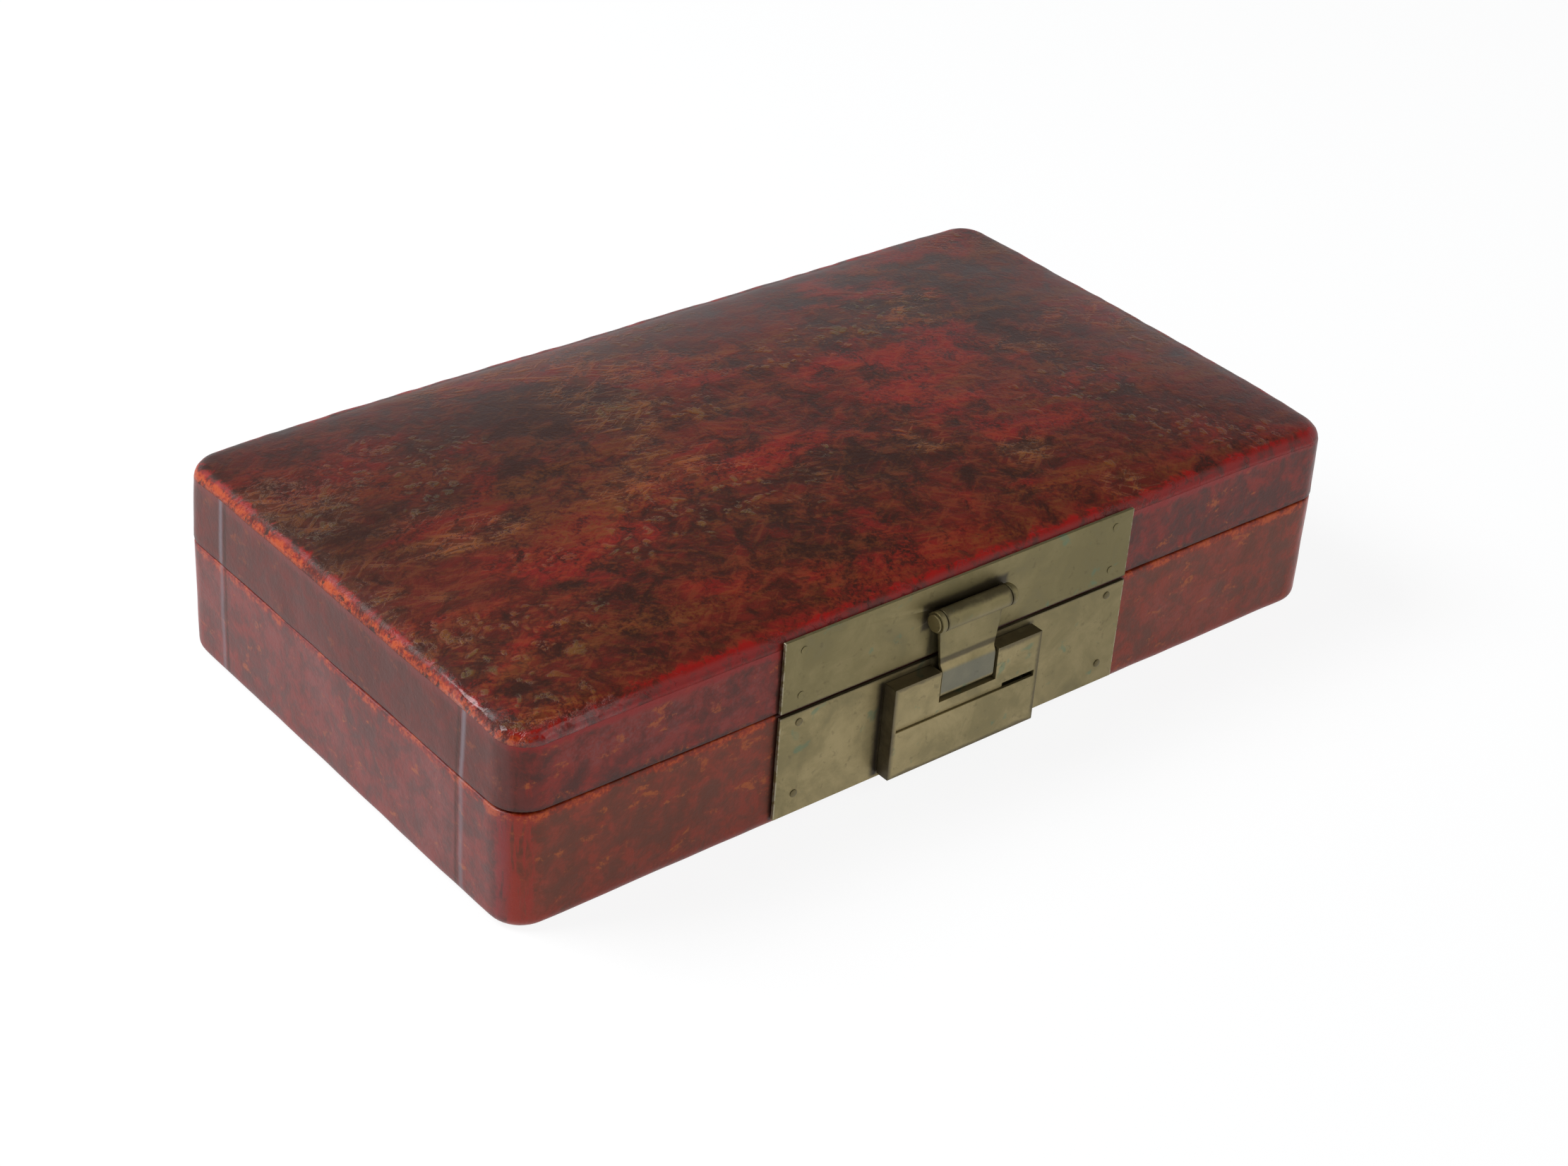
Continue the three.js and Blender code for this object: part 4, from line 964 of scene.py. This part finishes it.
def area_lamp(name, direction, distance, size, power, tint):
    lamp = bpy.data.lights.new(name, "AREA")
    lamp.energy = power
    lamp.size = size
    lamp.color = tint
    holder = bpy.data.objects.new(name, lamp)
    holder.location = Vector(direction).normalized() * distance
    holder.rotation_mode = "QUATERNION"
    holder.rotation_quaternion = holder.location.to_track_quat("Z", "Y")
    bpy.context.scene.collection.objects.link(holder)


def studio_floor():
    """A wide pale floor that the camera and reflections see nearly white, and that keeps the shadow."""
    bm = bmesh.new()
    bmesh.ops.create_grid(bm, x_segments=1, y_segments=1, size=8)
    mesh = bpy.data.meshes.new("floor")
    bm.to_mesh(mesh)
    bm.free()
    s = material("floor")
    paper = s.node("BsdfDiffuse", {}, {"Color": (0.78, 0.78, 0.78, 1)})
    pale = s.node("BsdfDiffuse", {}, {"Color": (0.12, 0.12, 0.12, 1)})
    glow = s.node("Emission", {}, {"Color": (1, 1, 1, 1), "Strength": 0.89})
    lit = s.node("AddShader", {}, {0: pale, 1: glow})
    camera = s.node("LightPath", {}, {}, "Is Camera Ray")
    glossy = s.node("LightPath", {}, {}, "Is Glossy Ray")
    through = s.node("LightPath", {}, {}, "Is Transmission Ray")
    seen = s.larger(s.larger(camera, glossy), through)
    mesh.materials.append(s.finish(s.node("MixShader", {}, {0: seen, 1: paper, 2: lit})))
    floor = bpy.data.objects.new("floor", mesh)
    bpy.context.scene.collection.objects.link(floor)


def studio_world():
    """White to the camera. What lights the box is bright low down and dim overhead, as in a room."""
    world = bpy.data.worlds.new("room")
    bpy.context.scene.world = world
    s = Shader(world)
    up = s.axes(s.node("TexCoord", {}, {}, "Generated"))[2]
    room = s.mix(s.step(up, 0.24, 0.5), (0.85, 0.88, 0.92), (0.06, 0.06, 0.065))
    camera = s.node("LightPath", {}, {}, "Is Camera Ray")
    tint = s.mix(camera, room, (1, 1, 1))
    s.finish(s.node("Background", {}, {"Color": tint, "Strength": 1.0}), "OutputWorld")


def studio_camera(studio):
    """A camera at the photograph's angle."""
    azimuth, elevation, roll = [math.radians(v) for v in (studio.azimuth, studio.elevation, studio.roll)]
    level = math.cos(elevation)
    back = Vector((math.sin(azimuth) * level, -math.cos(azimuth) * level, math.sin(elevation)))
    level_right = (-back).cross(Vector((0, 0, 1))).normalized()
    level_up = level_right.cross(-back)
    right = level_right * math.cos(roll) + level_up * math.sin(roll)
    up = level_up * math.cos(roll) - level_right * math.sin(roll)
    camera = bpy.data.cameras.new("camera")
    camera.lens = studio.lens
    camera.sensor_width = 36
    camera.clip_start = 0.01
    holder = bpy.data.objects.new("camera", camera)
    turn = Matrix((right, up, back)).transposed().to_4x4()
    place = right * studio.shift_right + up * studio.shift_up + back * studio.distance
    holder.matrix_world = Matrix.Translation(place) @ turn
    bpy.context.scene.collection.objects.link(holder)
    bpy.context.scene.camera = holder


class LEATHERBOX_OT_studio(bpy.types.Operator):
    """Set up the floor, the lamps, the world and the camera"""

    bl_idname = "leatherbox.studio"
    bl_label = "Studio"

    def execute(self, context):
        studio = context.scene.box_studio
        studio_floor()
        studio_world()
        area_lamp("key lamp", (-0.75, 0.55, 1.05), 1.5, 0.8, studio.key, (0.95, 0.98, 1.0))
        area_lamp("fill lamp", (0.6, -0.9, 0.9), 1.6, 1.0, studio.fill, (1.0, 0.98, 0.95))
        studio_camera(studio)
        context.scene.view_settings.view_transform = "Standard"
        return {"FINISHED"}


class LEATHERBOX_PT_panel(bpy.types.Panel):
    """The steps that build the box, in order"""

    bl_idname = "LEATHERBOX_PT_panel"
    bl_label = "Leather Box"
    bl_space_type = "VIEW_3D"
    bl_region_type = "UI"
    bl_category = "Leather Box"

    def draw(self, context):
        for operator in OPERATORS:
            self.layout.operator(operator.bl_idname)
        for group in (context.scene.box_sizes, context.scene.box_colours, context.scene.box_studio):
            column = self.layout.column()
            for name in group.bl_rna.properties.keys():
                if name not in ("rna_type", "name"):
                    column.prop(group, name)


GROUPS = (("box_sizes", BoxSizes), ("box_colours", BoxColours), ("box_studio", Studio))
OPERATORS = (
    LEATHERBOX_OT_studio,
    LEATHERBOX_OT_base_leather,
    LEATHERBOX_OT_lid_leather,
    LEATHERBOX_OT_carcass,
    LEATHERBOX_OT_clasp,
    LEATHERBOX_OT_hinges,
    LEATHERBOX_OT_nails,
)


def register():
    for name, group in GROUPS:
        bpy.utils.register_class(group)
        setattr(bpy.types.Scene, name, PointerProperty(type=group))
    for operator in OPERATORS:
        bpy.utils.register_class(operator)
    bpy.utils.register_class(LEATHERBOX_PT_panel)


def unregister():
    bpy.utils.unregister_class(LEATHERBOX_PT_panel)
    for operator in reversed(OPERATORS):
        bpy.utils.unregister_class(operator)
    for name, group in reversed(GROUPS):
        delattr(bpy.types.Scene, name)
        bpy.utils.unregister_class(group)


def main():
    register()
    bpy.ops.leatherbox.studio()
    bpy.ops.leatherbox.base_leather()
    bpy.ops.leatherbox.lid_leather()
    bpy.ops.leatherbox.carcass()
    bpy.ops.leatherbox.clasp()
    bpy.ops.leatherbox.hinges()
    bpy.ops.leatherbox.nails()


if __name__ == "__main__":
    main()
